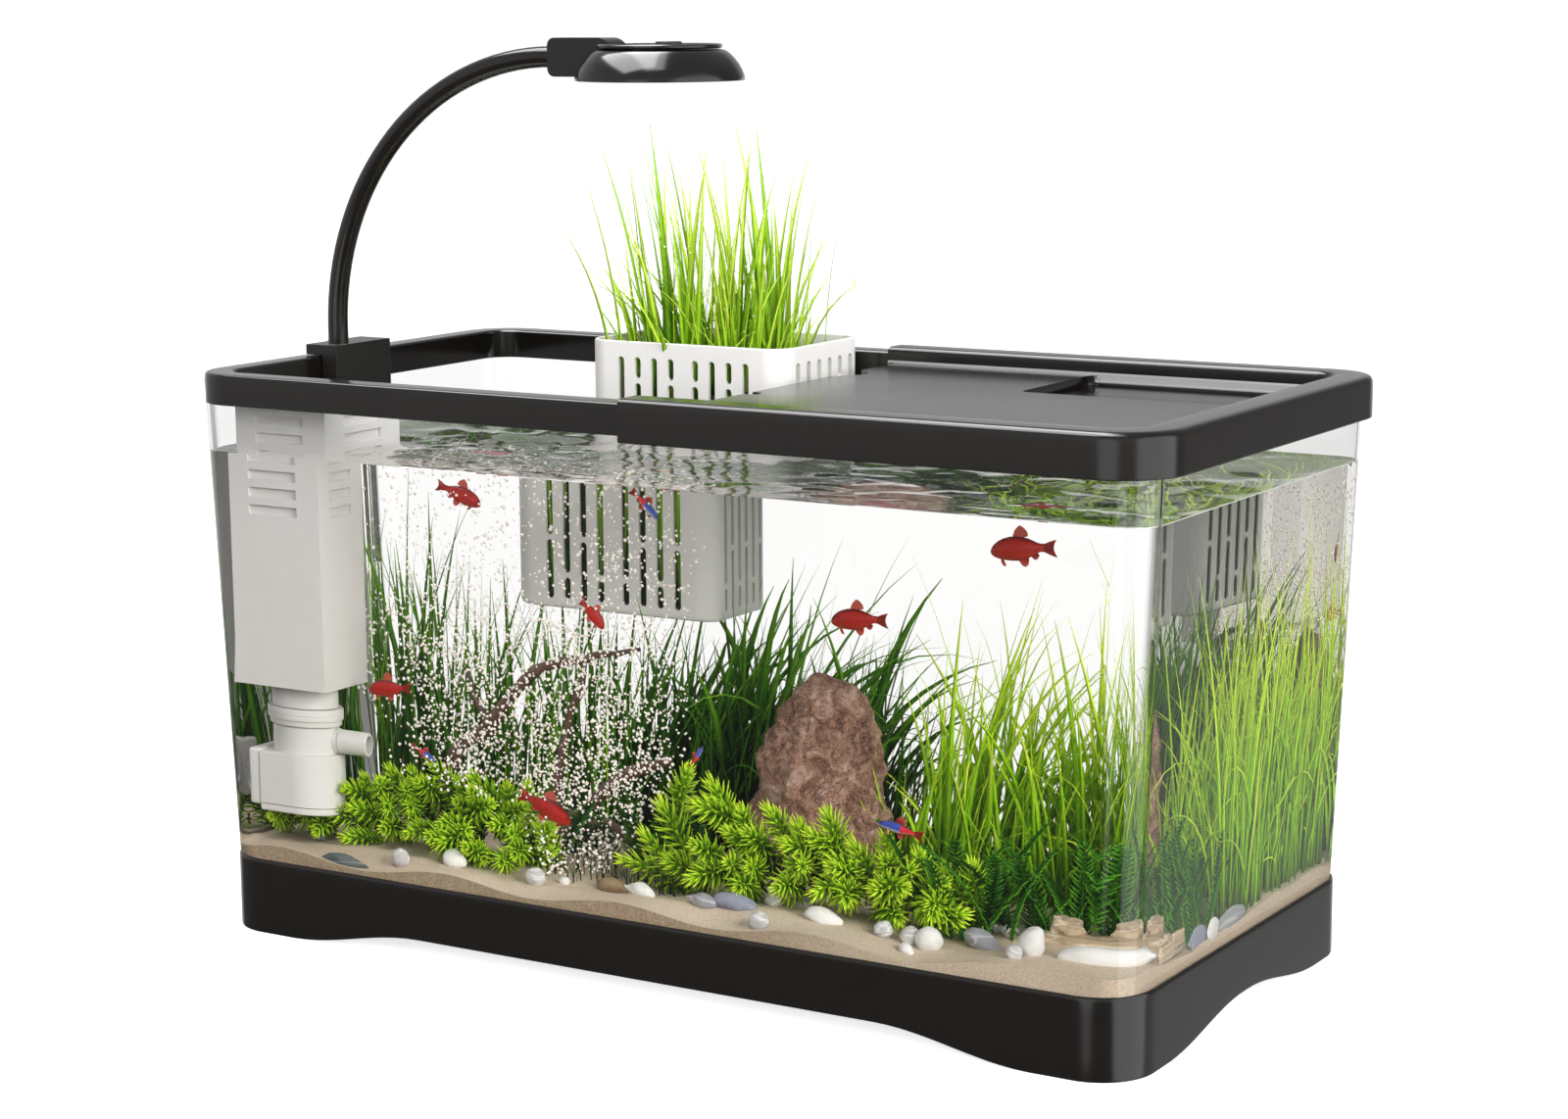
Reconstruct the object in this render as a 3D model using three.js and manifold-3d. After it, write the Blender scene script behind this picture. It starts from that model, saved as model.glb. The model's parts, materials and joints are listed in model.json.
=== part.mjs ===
// Desktop aquarium on a low stand: a tapered clear tank in a footed plinth, with a rim frame,
// a half lid, a hanging plant basket, an arched clip-on lamp and an internal filter with its pump.
// Millimetres. +X runs along the long side, +Y to the back, +Z up.
// Origin: centre of the footprint, on the surface that the feet stand on.
import * as THREE from 'three';
import { mergeVertices } from 'three/addons/utils/BufferGeometryUtils.js';
import Module from 'manifold-3d';

const wasm = await Module();
wasm.setup();

// ---------------------------------------------------------------- driving dimensions
const GAP = 0.3;                 // clearance between neighbouring pieces
const ARC = 5;                   // segments in a quarter-round plan corner

const RIM = { x: 200, y: 99.2, corner: 20.5, top: 215, bottom: 203.4, band: 10.7, flange: 1.2 };
const TANK = { x: 190, y: 93.6, corner: 17, bottom: 14.3, top: 213, wall: 2.6, floor: 3 };
const TANK_GROWTH = { x: 8.4, y: 2.8 };   // how much wider each side is at the top than at the bottom
const BASE = { x: 193.2, y: 96.8, corner: 20.5, top: 29.2, wall: 1.6, deckTop: 14, deck: 2.4 };
const ARCH = { rise: 7.8, frontFlat: 97, frontFoot: 160, sideFoot: 66, steps: 8 };
const FOOT = { x: 172, y: 78, r: 8, thick: 2, post: 12 };

const LID = { left: -0.5, x: 203, y: 102, corner: 22.5, top: 216.8, bottom: 201.4, skin: 1.5 };
const TRAY = { left: 3, x: 188.8, y: 88.1, corner: 9.8, wall: 1.5, top: 210.6, under: 208.8 };
const POCKET = { x: 88.5, y: 27.5, floor: 206.4, under: 204.8 };

const BASKET = { cx: -56.7, cy: 57.1, x: 45.5, y: 31.1, corner: 10, bottom: 124, top: 220.9, wall: 1.8 };
const SLOT = { width: 3, low: 127.6, high: 214.5, bar: 1.7, pitch: 7.75, gapPitch: 11.4, sidePitch: 7.9 };
const SLOT_BARS = { even: [151.3], odd: [137, 205.5] };
const MEDIUM_TOP = 196;

const BRACKET = { left: -197, right: -181.6, front: -30, back: 4, top: 219.4, bottom: 196 };
const ARM = { x: -185.3, y: -24, r: 3.95, arch: 105.2, start: 226.4, spigot: 2.4, spigotEnd: 203 };
const JOINT_BLOCK = { left: -78.6, right: -49, halfY: 5.5, bottom: 324.4, top: 338.7 };
const HEAD = { x: -32.4, y: -24, r: 31.2, capR: 23, bottom: 323.2, top: 336.5, wall: 1.6 };
const BUTTON = { shift: 4, r: 5, hole: 5.3 };
const TILT = { x: -54.5, z: 331.5, pinR: 1.4, holeR: 1.75 };

const FILTER = { cx: -166.7, cy: -59.5, x: 21.7, y: 22.5, bottom: 95, top: 203.5, wall: 1.8 };
const LOUVRE = { cx: -167.4, halfX: 11.4, halfY: 11, height: 3.5, first: 163.1, pitch: 6.7, rows: 6 };
const PUMP = { cx: -165.4, cy: -59.5, r: 17, back: -181, bottom: 45, shoulder: 68.5, wall: 1.8 };
const TURRET = { r: 14.8, collarLow: 79.4, collarHigh: 86.2, collarR: 16.9, stepR: 16.1 };
const NOZZLE = { z: 73.8, r: 4.7, bore: 3.5, end: -135 };
const SHAFT = { r: 1.2, bore: 1.5 };
const PORT = 9;                  // radius of the water passage from the filter box to the pump

const SAND_TOP = 32;
const GROUND = SAND_TOP + GAP;

// ---------------------------------------------------------------- materials
const standard = (color, roughness, metalness = 0, extra = {}) =>
  new THREE.MeshStandardMaterial({ color, roughness, metalness, ...extra });

const MATERIAL = {
  black: standard(0x24211f, 0.35),
  satin: standard(0x2e2b29, 0.55),
  rubber: standard(0x161616, 0.8),
  clear: standard(0xeaf4f2, 0.05, 0, { transparent: true, opacity: 0.25 }),
  white: standard(0xd9d6d2, 0.5),
  diffuser: standard(0xf4f2ea, 0.6),
  board: standard(0xe8e8e4, 0.5),
  steel: standard(0xc4c6c8, 0.3, 1),
  magnet: standard(0x3a3a3c, 0.5, 0.2),
  sponge: standard(0x3b4046, 0.95),
  clay: standard(0x7a5139, 0.95),
  grass: standard(0x84cf2a, 0.6),
  leaf: standard(0x2f7a2a, 0.6),
  moss: standard(0x9fcf2e, 0.6),
  sand: standard(0xc9b08c, 0.95),
  rock: standard(0x7c4a3a, 0.9),
  wood: standard(0x4a3226, 0.85),
  pebble: standard(0xc9c7c2, 0.6),
  slate: standard(0x5d6066, 0.7),
};

// ---------------------------------------------------------------- solids
function solidOf(geometry) {
  const bare = geometry.clone();
  bare.deleteAttribute('normal');
  bare.deleteAttribute('uv');
  const merged = mergeVertices(bare, 1e-4);
  return new wasm.Manifold(new wasm.Mesh({
    numProp: 3,
    vertProperties: new Float32Array(merged.attributes.position.array),
    triVerts: new Uint32Array(merged.index.array),
  }));
}

function geometryOf(solid) {
  const mesh = solid.getMesh();
  const geometry = new THREE.BufferGeometry();
  geometry.setAttribute('position', new THREE.BufferAttribute(mesh.vertProperties, 3));
  geometry.setIndex(new THREE.BufferAttribute(mesh.triVerts, 1));
  geometry.computeVertexNormals();
  return geometry;
}

const joined = (solids) => solids.reduce((sum, solid) => sum.add(solid));
const cut = (solid, tools) => tools.reduce((rest, tool) => rest.subtract(tool), solid);

function roundedRect(x, y, corner) {
  const shape = new THREE.Shape();
  shape.absarc(x - corner, y - corner, corner, 0, Math.PI / 2);
  shape.absarc(corner - x, y - corner, corner, Math.PI / 2, Math.PI);
  shape.absarc(corner - x, corner - y, corner, Math.PI, 1.5 * Math.PI);
  shape.absarc(x - corner, corner - y, corner, 1.5 * Math.PI, 2 * Math.PI);
  shape.closePath();
  return shape;
}

function extruded(shape, z0, z1, segments = ARC) {
  const options = { depth: z1 - z0, bevelEnabled: false, curveSegments: segments };
  return new THREE.ExtrudeGeometry(shape, options).translate(0, 0, z0);
}

const slab = (x, y, corner, z0, z1) => solidOf(extruded(roundedRect(x, y, corner), z0, z1));

function box(x0, x1, y0, y1, z0, z1) {
  const geometry = new THREE.BoxGeometry(x1 - x0, y1 - y0, z1 - z0);
  return solidOf(geometry.translate((x0 + x1) / 2, (y0 + y1) / 2, (z0 + z1) / 2));
}

// Cylinder between two heights, standing on (x, y).
function disc(x, y, r, z0, z1, sides = 24) {
  const geometry = new THREE.CylinderGeometry(r, r, z1 - z0, sides);
  return solidOf(geometry.rotateX(Math.PI / 2).translate(x, y, (z0 + z1) / 2));
}

// Cylinder lying along X or Y.
function rodX(x0, x1, y, z, r, sides = 16) {
  const geometry = new THREE.CylinderGeometry(r, r, x1 - x0, sides);
  return solidOf(geometry.rotateZ(Math.PI / 2).translate((x0 + x1) / 2, y, z));
}

function rodY(x, y0, y1, z, r, sides = 16) {
  const geometry = new THREE.CylinderGeometry(r, r, y1 - y0, sides);
  return solidOf(geometry.translate(x, (y0 + y1) / 2, z));
}

// Widens a body from z0 to z1 by growX and growY on each side.
function flared(geometry, x, y, z0, z1, growX, growY) {
  const position = geometry.attributes.position;
  for (let i = 0; i < position.count; i += 1) {
    const share = (position.getZ(i) - z0) / (z1 - z0);
    position.setX(i, position.getX(i) * (1 + (growX / x) * share));
    position.setY(i, position.getY(i) * (1 + (growY / y) * share));
  }
  return geometry;
}

// ---------------------------------------------------------------- stand
// One S-curved arch between two feet, as a cutter that runs along the other axis.
function archCutter(flat, foot, reach, alongX) {
  const shape = new THREE.Shape();
  shape.moveTo(-foot, -1);
  for (const side of [-1, 1]) {
    for (let i = 0; i <= ARCH.steps; i += 1) {
      const step = side < 0 ? i : ARCH.steps - i;
      const share = step / ARCH.steps;
      const height = ARCH.rise * (0.5 - 0.5 * Math.cos(Math.PI * share));
      shape.lineTo(side * (foot + (flat - foot) * share), height);
    }
  }
  shape.lineTo(foot, -1);
  shape.closePath();
  const geometry = new THREE.ExtrudeGeometry(shape, { depth: 2 * reach, bevelEnabled: false });
  geometry.translate(0, 0, -reach).rotateX(Math.PI / 2);
  return solidOf(alongX ? geometry : geometry.rotateZ(Math.PI / 2));
}

function baseTray() {
  const inner = { x: BASE.x - BASE.wall, y: BASE.y - BASE.wall, corner: BASE.corner - BASE.wall };
  const skirt = slab(BASE.x, BASE.y, BASE.corner, 0, BASE.top)
    .subtract(slab(inner.x, inner.y, inner.corner, -1, BASE.top + 1));
  const deck = slab(BASE.x - 1, BASE.y - 1, BASE.corner - 1, BASE.deckTop - BASE.deck, BASE.deckTop);
  const posts = feet().map(([, x, y]) => disc(x, y, FOOT.post, FOOT.thick + GAP, BASE.deckTop - 1, 16));
  const arches = [
    archCutter(ARCH.frontFlat, ARCH.frontFoot, BASE.y + 5, true),
    archCutter(0, ARCH.sideFoot, BASE.x + 5, false),
  ];
  return cut(joined([skirt, deck, ...posts]), arches);
}

function feet() {
  const corners = [];
  for (const [side, sx] of [['left', -1], ['right', 1]]) {
    for (const [end, sy] of [['front', -1], ['back', 1]]) {
      corners.push([`foot_pad_${end}_${side}`, sx * FOOT.x, sy * FOOT.y]);
    }
  }
  return corners;
}

// ---------------------------------------------------------------- tank and rim
function tankBody(inset, z0, z1) {
  const geometry = extruded(roundedRect(TANK.x - inset, TANK.y - inset, TANK.corner - inset), z0, z1);
  return solidOf(flared(geometry, TANK.x, TANK.y, TANK.bottom, TANK.top, TANK_GROWTH.x, TANK_GROWTH.y));
}

const tank = () => tankBody(0, TANK.bottom, TANK.top)
  .subtract(tankBody(TANK.wall, TANK.bottom + TANK.floor, TANK.top + 1));

function rimFrame() {
  const inside = { x: RIM.x - RIM.band, y: RIM.y - RIM.band, corner: RIM.corner - RIM.band };
  const skin = { x: RIM.x - RIM.flange, y: RIM.y - RIM.flange, corner: RIM.corner - RIM.flange };
  const groove = { x: TANK.x + TANK_GROWTH.x - TANK.wall - 1, y: TANK.y + TANK_GROWTH.y - TANK.wall - 1 };
  const channel = slab(skin.x, skin.y, skin.corner, RIM.bottom - 1, TANK.top + GAP)
    .subtract(slab(groove.x, groove.y, TANK.corner - TANK.wall - 1, RIM.bottom - 2, RIM.top));
  return cut(slab(RIM.x, RIM.y, RIM.corner, RIM.bottom, RIM.top), [
    slab(inside.x, inside.y, inside.corner, RIM.bottom - 1, RIM.top + 1),
    channel,
  ]);
}

// ---------------------------------------------------------------- half lid
function lidCover() {
  const cavity = slab(RIM.x + 0.4, RIM.y + 0.4, RIM.corner, LID.bottom - 1, LID.top - LID.skin);
  const skirt = slab(LID.x, LID.y, LID.corner, LID.bottom, LID.top).subtract(cavity);
  const tray = slab(TRAY.x, TRAY.y, TRAY.corner, TRAY.under, LID.top);
  const pocketX = POCKET.x - TRAY.wall;
  const pocketY = POCKET.y - TRAY.wall;
  const pocket = box(pocketX, TRAY.x + 20, pocketY, TRAY.y + 20, POCKET.under, TRAY.top)
    .intersect(slab(TRAY.x, TRAY.y, TRAY.corner, POCKET.under, LID.top));
  const inner = { x: TRAY.x - TRAY.wall, y: TRAY.y - TRAY.wall, corner: TRAY.corner - TRAY.wall };
  const trayHollow = slab(inner.x, inner.y, inner.corner, TRAY.top, LID.top + 1);
  const pocketHollow = box(POCKET.x, TRAY.x + 20, POCKET.y, TRAY.y + 20, POCKET.floor, LID.top + 1)
    .intersect(slab(inner.x, inner.y, inner.corner, POCKET.floor, LID.top + 1));
  const whole = cut(joined([skirt, tray, pocket]), [trayHollow, pocketHollow]);
  const plateEdge = [
    box(LID.left - 1, TRAY.left, -TRAY.y - GAP, TRAY.y + GAP, TRAY.under - 1, LID.top + 1),
    disc(TRAY.left, -22.5, 4, TRAY.under - 1, TRAY.top + 1, 12),
    disc(TRAY.left + 1, 55, 8, TRAY.under - 1, TRAY.top + 1, 16),
  ];
  const y = LID.y + 5;
  const half = whole.intersect(box(LID.left, LID.x + 5, -y, y, LID.bottom - 5, LID.top + 5));
  return cut(half, plateEdge);
}

// ---------------------------------------------------------------- plant basket
// Slot heights between the cross bars of one slot.
function slotSpans(bars) {
  const levels = [SLOT.low, ...bars.flatMap((z) => [z - SLOT.bar / 2, z + SLOT.bar / 2]), SLOT.high];
  const spans = [];
  for (let i = 0; i < levels.length; i += 2) spans.push([levels[i], levels[i + 1]]);
  return spans;
}

function basketSlots() {
  const tools = [];
  const half = SLOT.width / 2;
  for (let i = 0; i < 8; i += 1) {
    const fromMiddle = SLOT.gapPitch / 2 + (i < 4 ? 3 - i : i - 4) * SLOT.pitch;
    const x = BASKET.cx + (i < 4 ? -fromMiddle : fromMiddle);
    for (const [z0, z1] of slotSpans([0, 2, 5, 7].includes(i) ? SLOT_BARS.even : SLOT_BARS.odd)) {
      tools.push(box(x - half, x + half, BASKET.cy - BASKET.y - 2, BASKET.cy + BASKET.y + 2, z0, z1));
    }
  }
  for (let i = 0; i < 6; i += 1) {
    const y = BASKET.cy + (i - 2.5) * SLOT.sidePitch;
    for (const [z0, z1] of slotSpans(i % 2 ? SLOT_BARS.even : SLOT_BARS.odd)) {
      tools.push(box(BASKET.cx - BASKET.x - 2, BASKET.cx + BASKET.x + 2, y - half, y + half, z0, z1));
    }
  }
  return tools;
}

function basket() {
  const shell = slab(BASKET.x, BASKET.y, BASKET.corner, BASKET.bottom, BASKET.top)
    .subtract(slab(BASKET.x - BASKET.wall, BASKET.y - BASKET.wall, BASKET.corner - BASKET.wall,
      BASKET.bottom + 2, BASKET.top + 1))
    .translate([BASKET.cx, BASKET.cy, 0]);
  const back = BASKET.cy + BASKET.y;
  const hooks = [-24, 24].flatMap((dx) => {
    const x0 = BASKET.cx + dx - 5;
    return [
      box(x0, x0 + 10, back - 1, RIM.y + 2.4, RIM.top + GAP, RIM.top + GAP + 2),
      box(x0, x0 + 10, RIM.y + 0.4, RIM.y + 2.4, RIM.top - 9, RIM.top + GAP + 1),
    ];
  });
  return joined([cut(shell, basketSlots()), ...hooks]);
}

function plantingMedium() {
  const inset = BASKET.wall + GAP;
  const half = { x: BASKET.x - inset, y: BASKET.y - inset };
  const block = slab(half.x, half.y, BASKET.corner - inset, BASKET.bottom + 2 + GAP, MEDIUM_TOP);
  return block.translate([BASKET.cx, BASKET.cy, 0]);
}

// A soft tuft that stands between z0 and z1 and narrows or widens upwards.
function tuft(cx, cy, x, y, z0, z1, growX, growY, corner = Math.min(x, y) * 0.6) {
  const prism = extruded(roundedRect(x, y, corner), z0, z1, 3);
  return solidOf(flared(prism, x, y, z0, z1, growX, growY).translate(cx, cy, 0));
}

// ---------------------------------------------------------------- lamp
function lampBracket() {
  const saddle = box(BRACKET.left, BRACKET.right, BRACKET.front, BRACKET.back, RIM.top + GAP, BRACKET.top);
  const inner = RIM.x - RIM.band - GAP;
  const block = box(-inner, BRACKET.right, BRACKET.front, BRACKET.back, BRACKET.bottom, BRACKET.top);
  return joined([saddle, block]).subtract(disc(ARM.x, ARM.y, 3.45, ARM.spigotEnd - 1, BRACKET.top + 1, 16));
}

const swivelBush = () => disc(ARM.x, ARM.y, 3.2, ARM.spigotEnd - 0.7, BRACKET.top, 16)
  .subtract(disc(ARM.x, ARM.y, 2.65, ARM.spigotEnd - 2, BRACKET.top + 1, 16));

// Stem, quarter arch and a short level end, as one round tube, with a thin spigot below.
function armTube() {
  const centreX = ARM.x + ARM.arch;
  const stemFoot = new THREE.Vector3(ARM.x, ARM.y, BRACKET.top + GAP);
  const archPoints = [];
  for (let i = 0; i <= 16; i += 1) {
    const angle = (Math.PI / 2) * (i / 16);
    const x = centreX - ARM.arch * Math.cos(angle);
    archPoints.push(new THREE.Vector3(x, ARM.y, ARM.start + ARM.arch * Math.sin(angle)));
  }
  const levelEnd = new THREE.Vector3(JOINT_BLOCK.left + 6, ARM.y, ARM.start + ARM.arch);
  const extrudePath = new THREE.CatmullRomCurve3([stemFoot, ...archPoints, levelEnd], false, 'chordal');
  const section = new THREE.Shape().absarc(0, 0, ARM.r, 0, 2 * Math.PI);
  const tube = new THREE.ExtrudeGeometry(section, { extrudePath, steps: 24, curveSegments: 8 });
  const spigot = disc(ARM.x, ARM.y, ARM.spigot, ARM.spigotEnd, BRACKET.top + GAP + 2, 16);
  return joined([solidOf(tube), spigot]);
}

// Side view of the joint block: half round towards the lamp head, small corners towards the arm.
function jointBlockShape() {
  const r = (JOINT_BLOCK.top - JOINT_BLOCK.bottom) / 2;
  const mid = (JOINT_BLOCK.top + JOINT_BLOCK.bottom) / 2;
  const small = 3;
  const x = JOINT_BLOCK.left + small;
  const shape = new THREE.Shape();
  shape.absarc(JOINT_BLOCK.right - r, mid, r, -Math.PI / 2, Math.PI / 2);
  shape.absarc(x, mid + r - small, small, Math.PI / 2, Math.PI);
  shape.absarc(x, mid - r + small, small, Math.PI, 1.5 * Math.PI);
  shape.closePath();
  return shape;
}

function lampJointBlock() {
  const width = 2 * JOINT_BLOCK.halfY;
  const options = { depth: width, bevelEnabled: false, curveSegments: 8 };
  const geometry = new THREE.ExtrudeGeometry(jointBlockShape(), options);
  geometry.rotateX(Math.PI / 2).translate(0, ARM.y + width / 2, 0);
  return cut(solidOf(geometry), [
    rodX(JOINT_BLOCK.left - 1, JOINT_BLOCK.left + 6 + GAP, ARM.y, ARM.start + ARM.arch, ARM.r + GAP),
    rodY(TILT.x, ARM.y - 10, ARM.y + 10, TILT.z, TILT.holeR, 12),
  ]);
}

function tiltPin() {
  const half = JOINT_BLOCK.halfY + 3;
  return rodY(TILT.x, ARM.y - half, ARM.y + half, TILT.z, TILT.pinR, 12);
}

// Dome profile: radius at a share of the height, from the cap down to the open rim.
function domeRadius(share, inset) {
  return HEAD.capR + (HEAD.r - HEAD.capR) * Math.sin((Math.PI / 2) * share) - inset;
}

function domeSolid(inset, z0, z1) {
  const profile = [new THREE.Vector2(0, z0)];
  for (let i = 0; i <= 8; i += 1) {
    const share = 1 - i / 8;
    profile.push(new THREE.Vector2(domeRadius(share, inset), z0 + (z1 - z0) * (1 - share)));
  }
  profile.push(new THREE.Vector2(0, z1));
  const geometry = new THREE.LatheGeometry(profile, 36);
  return solidOf(geometry.rotateX(Math.PI / 2).translate(HEAD.x, HEAD.y, 0));
}

// The slot that the joint block swings in.
const headSlot = () => box(HEAD.x - HEAD.r - 20, JOINT_BLOCK.right + 3, ARM.y - JOINT_BLOCK.halfY - 0.5,
  ARM.y + JOINT_BLOCK.halfY + 0.5, HEAD.bottom - 5, HEAD.top + 10);

function lampShade() {
  const capUnder = HEAD.top - 1.8;
  const outer = domeSolid(0, HEAD.bottom, capUnder - GAP);
  const hollow = domeSolid(HEAD.wall, HEAD.bottom - 0.01, capUnder - GAP - HEAD.wall);
  const ears = [-1, 1].map((side) => {
    const y0 = ARM.y + side * (JOINT_BLOCK.halfY + 1.5) - 1.1;
    return box(TILT.x - 5, TILT.x + 6, y0, y0 + 2.2, TILT.z - 4, capUnder - GAP - 1);
  }).map((ear) => ear.intersect(domeSolid(0.4, HEAD.bottom, capUnder - GAP - 0.3)));
  return cut(joined([outer.subtract(hollow), ...ears]), [
    headSlot(),
    disc(HEAD.x + BUTTON.shift, HEAD.y, BUTTON.hole, HEAD.bottom + 6, HEAD.top),
    rodY(TILT.x, ARM.y - 12, ARM.y + 12, TILT.z, TILT.holeR, 12),
  ]);
}

const lampCap = () => disc(HEAD.x, HEAD.y, HEAD.capR, HEAD.top - 1.8, HEAD.top, 36)
  .subtract(headSlot())
  .subtract(disc(HEAD.x + BUTTON.shift, HEAD.y, BUTTON.hole, HEAD.top - 3, HEAD.top + 1));

const lampButton = () => disc(HEAD.x + BUTTON.shift, HEAD.y, BUTTON.r, HEAD.top - 1.4, HEAD.top + 0.9);

const ledBoard = () => disc(HEAD.x, HEAD.y, 26, HEAD.bottom + 4.2, HEAD.bottom + 5.4, 30)
  .subtract(headSlot())
  .subtract(box(TILT.x - 8, TILT.x + 8, ARM.y - 12, ARM.y + 12, HEAD.bottom, HEAD.top));

const diffuser = () => disc(HEAD.x, HEAD.y, 28.8, HEAD.bottom + 0.6, HEAD.bottom + 2, 30)
  .subtract(headSlot());

// ---------------------------------------------------------------- internal filter
function filterBox() {
  const shell = box(FILTER.cx - FILTER.x, FILTER.cx + FILTER.x, FILTER.cy - FILTER.y, FILTER.cy + FILTER.y,
    FILTER.bottom, FILTER.top);
  const inset = { x: FILTER.x - FILTER.wall, y: FILTER.y - FILTER.wall };
  const hollow = box(FILTER.cx - inset.x, FILTER.cx + inset.x, FILTER.cy - inset.y, FILTER.cy + inset.y,
    FILTER.bottom + 2, FILTER.top + 1);
  const tools = [hollow, disc(PUMP.cx, PUMP.cy, PORT, FILTER.bottom - 1, FILTER.bottom + 3, 20)];
  for (let row = 0; row < LOUVRE.rows; row += 1) {
    const z = LOUVRE.first + row * LOUVRE.pitch;
    tools.push(box(LOUVRE.cx - LOUVRE.halfX, LOUVRE.cx + LOUVRE.halfX, FILTER.cy - FILTER.y - 1,
      FILTER.cy - inset.y + 1, z - LOUVRE.height / 2, z + LOUVRE.height / 2));
    tools.push(box(FILTER.cx + inset.x - 1, FILTER.cx + FILTER.x + 1, FILTER.cy - LOUVRE.halfY,
      FILTER.cy + LOUVRE.halfY, z - LOUVRE.height / 2, z + LOUVRE.height / 2));
  }
  return cut(shell, tools);
}

function filterCover() {
  const plate = box(FILTER.cx - FILTER.x, FILTER.cx + FILTER.x, FILTER.cy - FILTER.y, FILTER.cy + FILTER.y,
    FILTER.top + GAP, FILTER.top + 2.3);
  const inset = FILTER.wall + GAP;
  const plug = box(FILTER.cx - FILTER.x + inset, FILTER.cx + FILTER.x - inset, FILTER.cy - FILTER.y + inset,
    FILTER.cy + FILTER.y - inset, FILTER.top - 2.5, FILTER.top + GAP + 0.5);
  return joined([plate, plug]);
}

function filterSponge() {
  const inset = FILTER.wall + 0.6;
  return box(FILTER.cx - FILTER.x + inset, FILTER.cx + FILTER.x - inset, FILTER.cy - FILTER.y + inset,
    FILTER.cy + FILTER.y - inset, FILTER.bottom + 2 + GAP, FILTER.top - 8);
}

function filterNeck() {
  const neck = disc(PUMP.cx, PUMP.cy, TURRET.r, TURRET.collarHigh + GAP, FILTER.bottom - GAP, 30);
  return neck.subtract(disc(PUMP.cx, PUMP.cy, PORT, TURRET.collarHigh - 1, FILTER.bottom + 1, 20));
}

function collarRing() {
  const mid = (TURRET.collarLow + TURRET.collarHigh) / 2;
  const ring = joined([
    disc(PUMP.cx, PUMP.cy, TURRET.collarR, TURRET.collarLow + 2, TURRET.collarHigh, 30),
    disc(PUMP.cx, PUMP.cy, TURRET.stepR, TURRET.collarLow, mid, 30),
  ]);
  return ring.subtract(disc(PUMP.cx, PUMP.cy, PORT, TURRET.collarLow - 1, TURRET.collarHigh + 1, 20));
}

// D-shaped plan: round towards the tank, flat against the holder.
function pumpPlan(inset, z0, z1) {
  const half = PUMP.r - inset;
  const round = disc(PUMP.cx, PUMP.cy, half, z0, z1, 32);
  const flat = box(PUMP.back + inset, PUMP.cx, PUMP.cy - half, PUMP.cy + half, z0, z1);
  const limit = box(PUMP.back + inset, PUMP.cx + PUMP.r, PUMP.cy - PUMP.r, PUMP.cy + PUMP.r, z0, z1);
  return joined([round, flat]).intersect(limit);
}

function pumpHousing() {
  const body = joined([
    pumpPlan(0, PUMP.bottom + 3, PUMP.shoulder),
    disc(PUMP.cx, PUMP.cy, TURRET.r, PUMP.shoulder - 1, TURRET.collarLow - GAP, 30),
  ]);
  return cut(body, [
    pumpPlan(PUMP.wall, PUMP.bottom, PUMP.shoulder - PUMP.wall),
    disc(PUMP.cx, PUMP.cy, TURRET.r - PUMP.wall, PUMP.bottom, TURRET.collarLow - GAP - 1.5, 30),
    disc(PUMP.cx, PUMP.cy, PORT, PUMP.bottom, TURRET.collarLow + 1, 20),
    rodX(PUMP.cx + 4, PUMP.cx + PUMP.r + 5, PUMP.cy, NOZZLE.z, NOZZLE.bore, 16),
  ]);
}

const outletNozzle = () => rodX(PUMP.cx + TURRET.r + GAP, NOZZLE.end, PUMP.cy, NOZZLE.z, NOZZLE.r, 20)
  .subtract(rodX(PUMP.cx, NOZZLE.end + 1, PUMP.cy, NOZZLE.z, NOZZLE.bore, 20));

function pumpFoot() {
  return joined([
    pumpPlan(0, PUMP.bottom, PUMP.bottom + 3 - GAP),
    disc(PUMP.cx, PUMP.cy, 12, PUMP.bottom + 1, PUMP.bottom + 5, 24),
  ]).subtract(disc(PUMP.cx, PUMP.cy, SHAFT.bore, PUMP.bottom + 3, PUMP.bottom + 6, 12));
}

// Magnet rotor with four straight blades, bored for the shaft.
function impeller() {
  const rotor = disc(PUMP.cx, PUMP.cy, 5, PUMP.bottom + 6, PUMP.bottom + 17, 20);
  const hub = disc(PUMP.cx, PUMP.cy, 8, PUMP.bottom + 16, PUMP.bottom + 17.5, 20);
  const blades = [0, 1, 2, 3].map((i) => solidOf(new THREE.BoxGeometry(15.4, 1, 5.5)
    .rotateZ((i * Math.PI) / 4)
    .translate(PUMP.cx, PUMP.cy, PUMP.bottom + 19.5)));
  const bore = disc(PUMP.cx, PUMP.cy, SHAFT.bore, PUMP.bottom, PUMP.bottom + 30, 12);
  return joined([rotor, hub, ...blades]).subtract(bore);
}

const impellerShaft = () =>
  disc(PUMP.cx, PUMP.cy, SHAFT.r, PUMP.bottom + 3 + GAP, PUMP.bottom + 24, 12);

function pumpGland() {
  const y = PUMP.cy + PUMP.r;
  return rodY(PUMP.back + 7, y + GAP, y + 7, PUMP.bottom + 12, 2.6, 12);
}

const holderPlate = () => box(PUMP.back - 4.6, PUMP.back - GAP, PUMP.cy - 16.5, PUMP.cy + 16.5,
  PUMP.bottom + 2, PUMP.bottom + 24);

// ---------------------------------------------------------------- bed and decorations
function sandBed() {
  return tankBody(TANK.wall + GAP, TANK.bottom + TANK.floor + GAP, SAND_TOP);
}

// A stone: a squashed sphere, cut flat where it lies on the sand.
function stone(x, y, rx, ry, rz, turn, rows = 6) {
  const geometry = new THREE.SphereGeometry(1, 10, rows).rotateX(Math.PI / 2);
  geometry.scale(rx, ry, rz).rotateZ(turn).translate(x, y, GROUND + rz * 0.55);
  return solidOf(geometry).intersect(box(x - 60, x + 60, y - 60, y + 60, GROUND, GROUND + 150));
}

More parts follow.
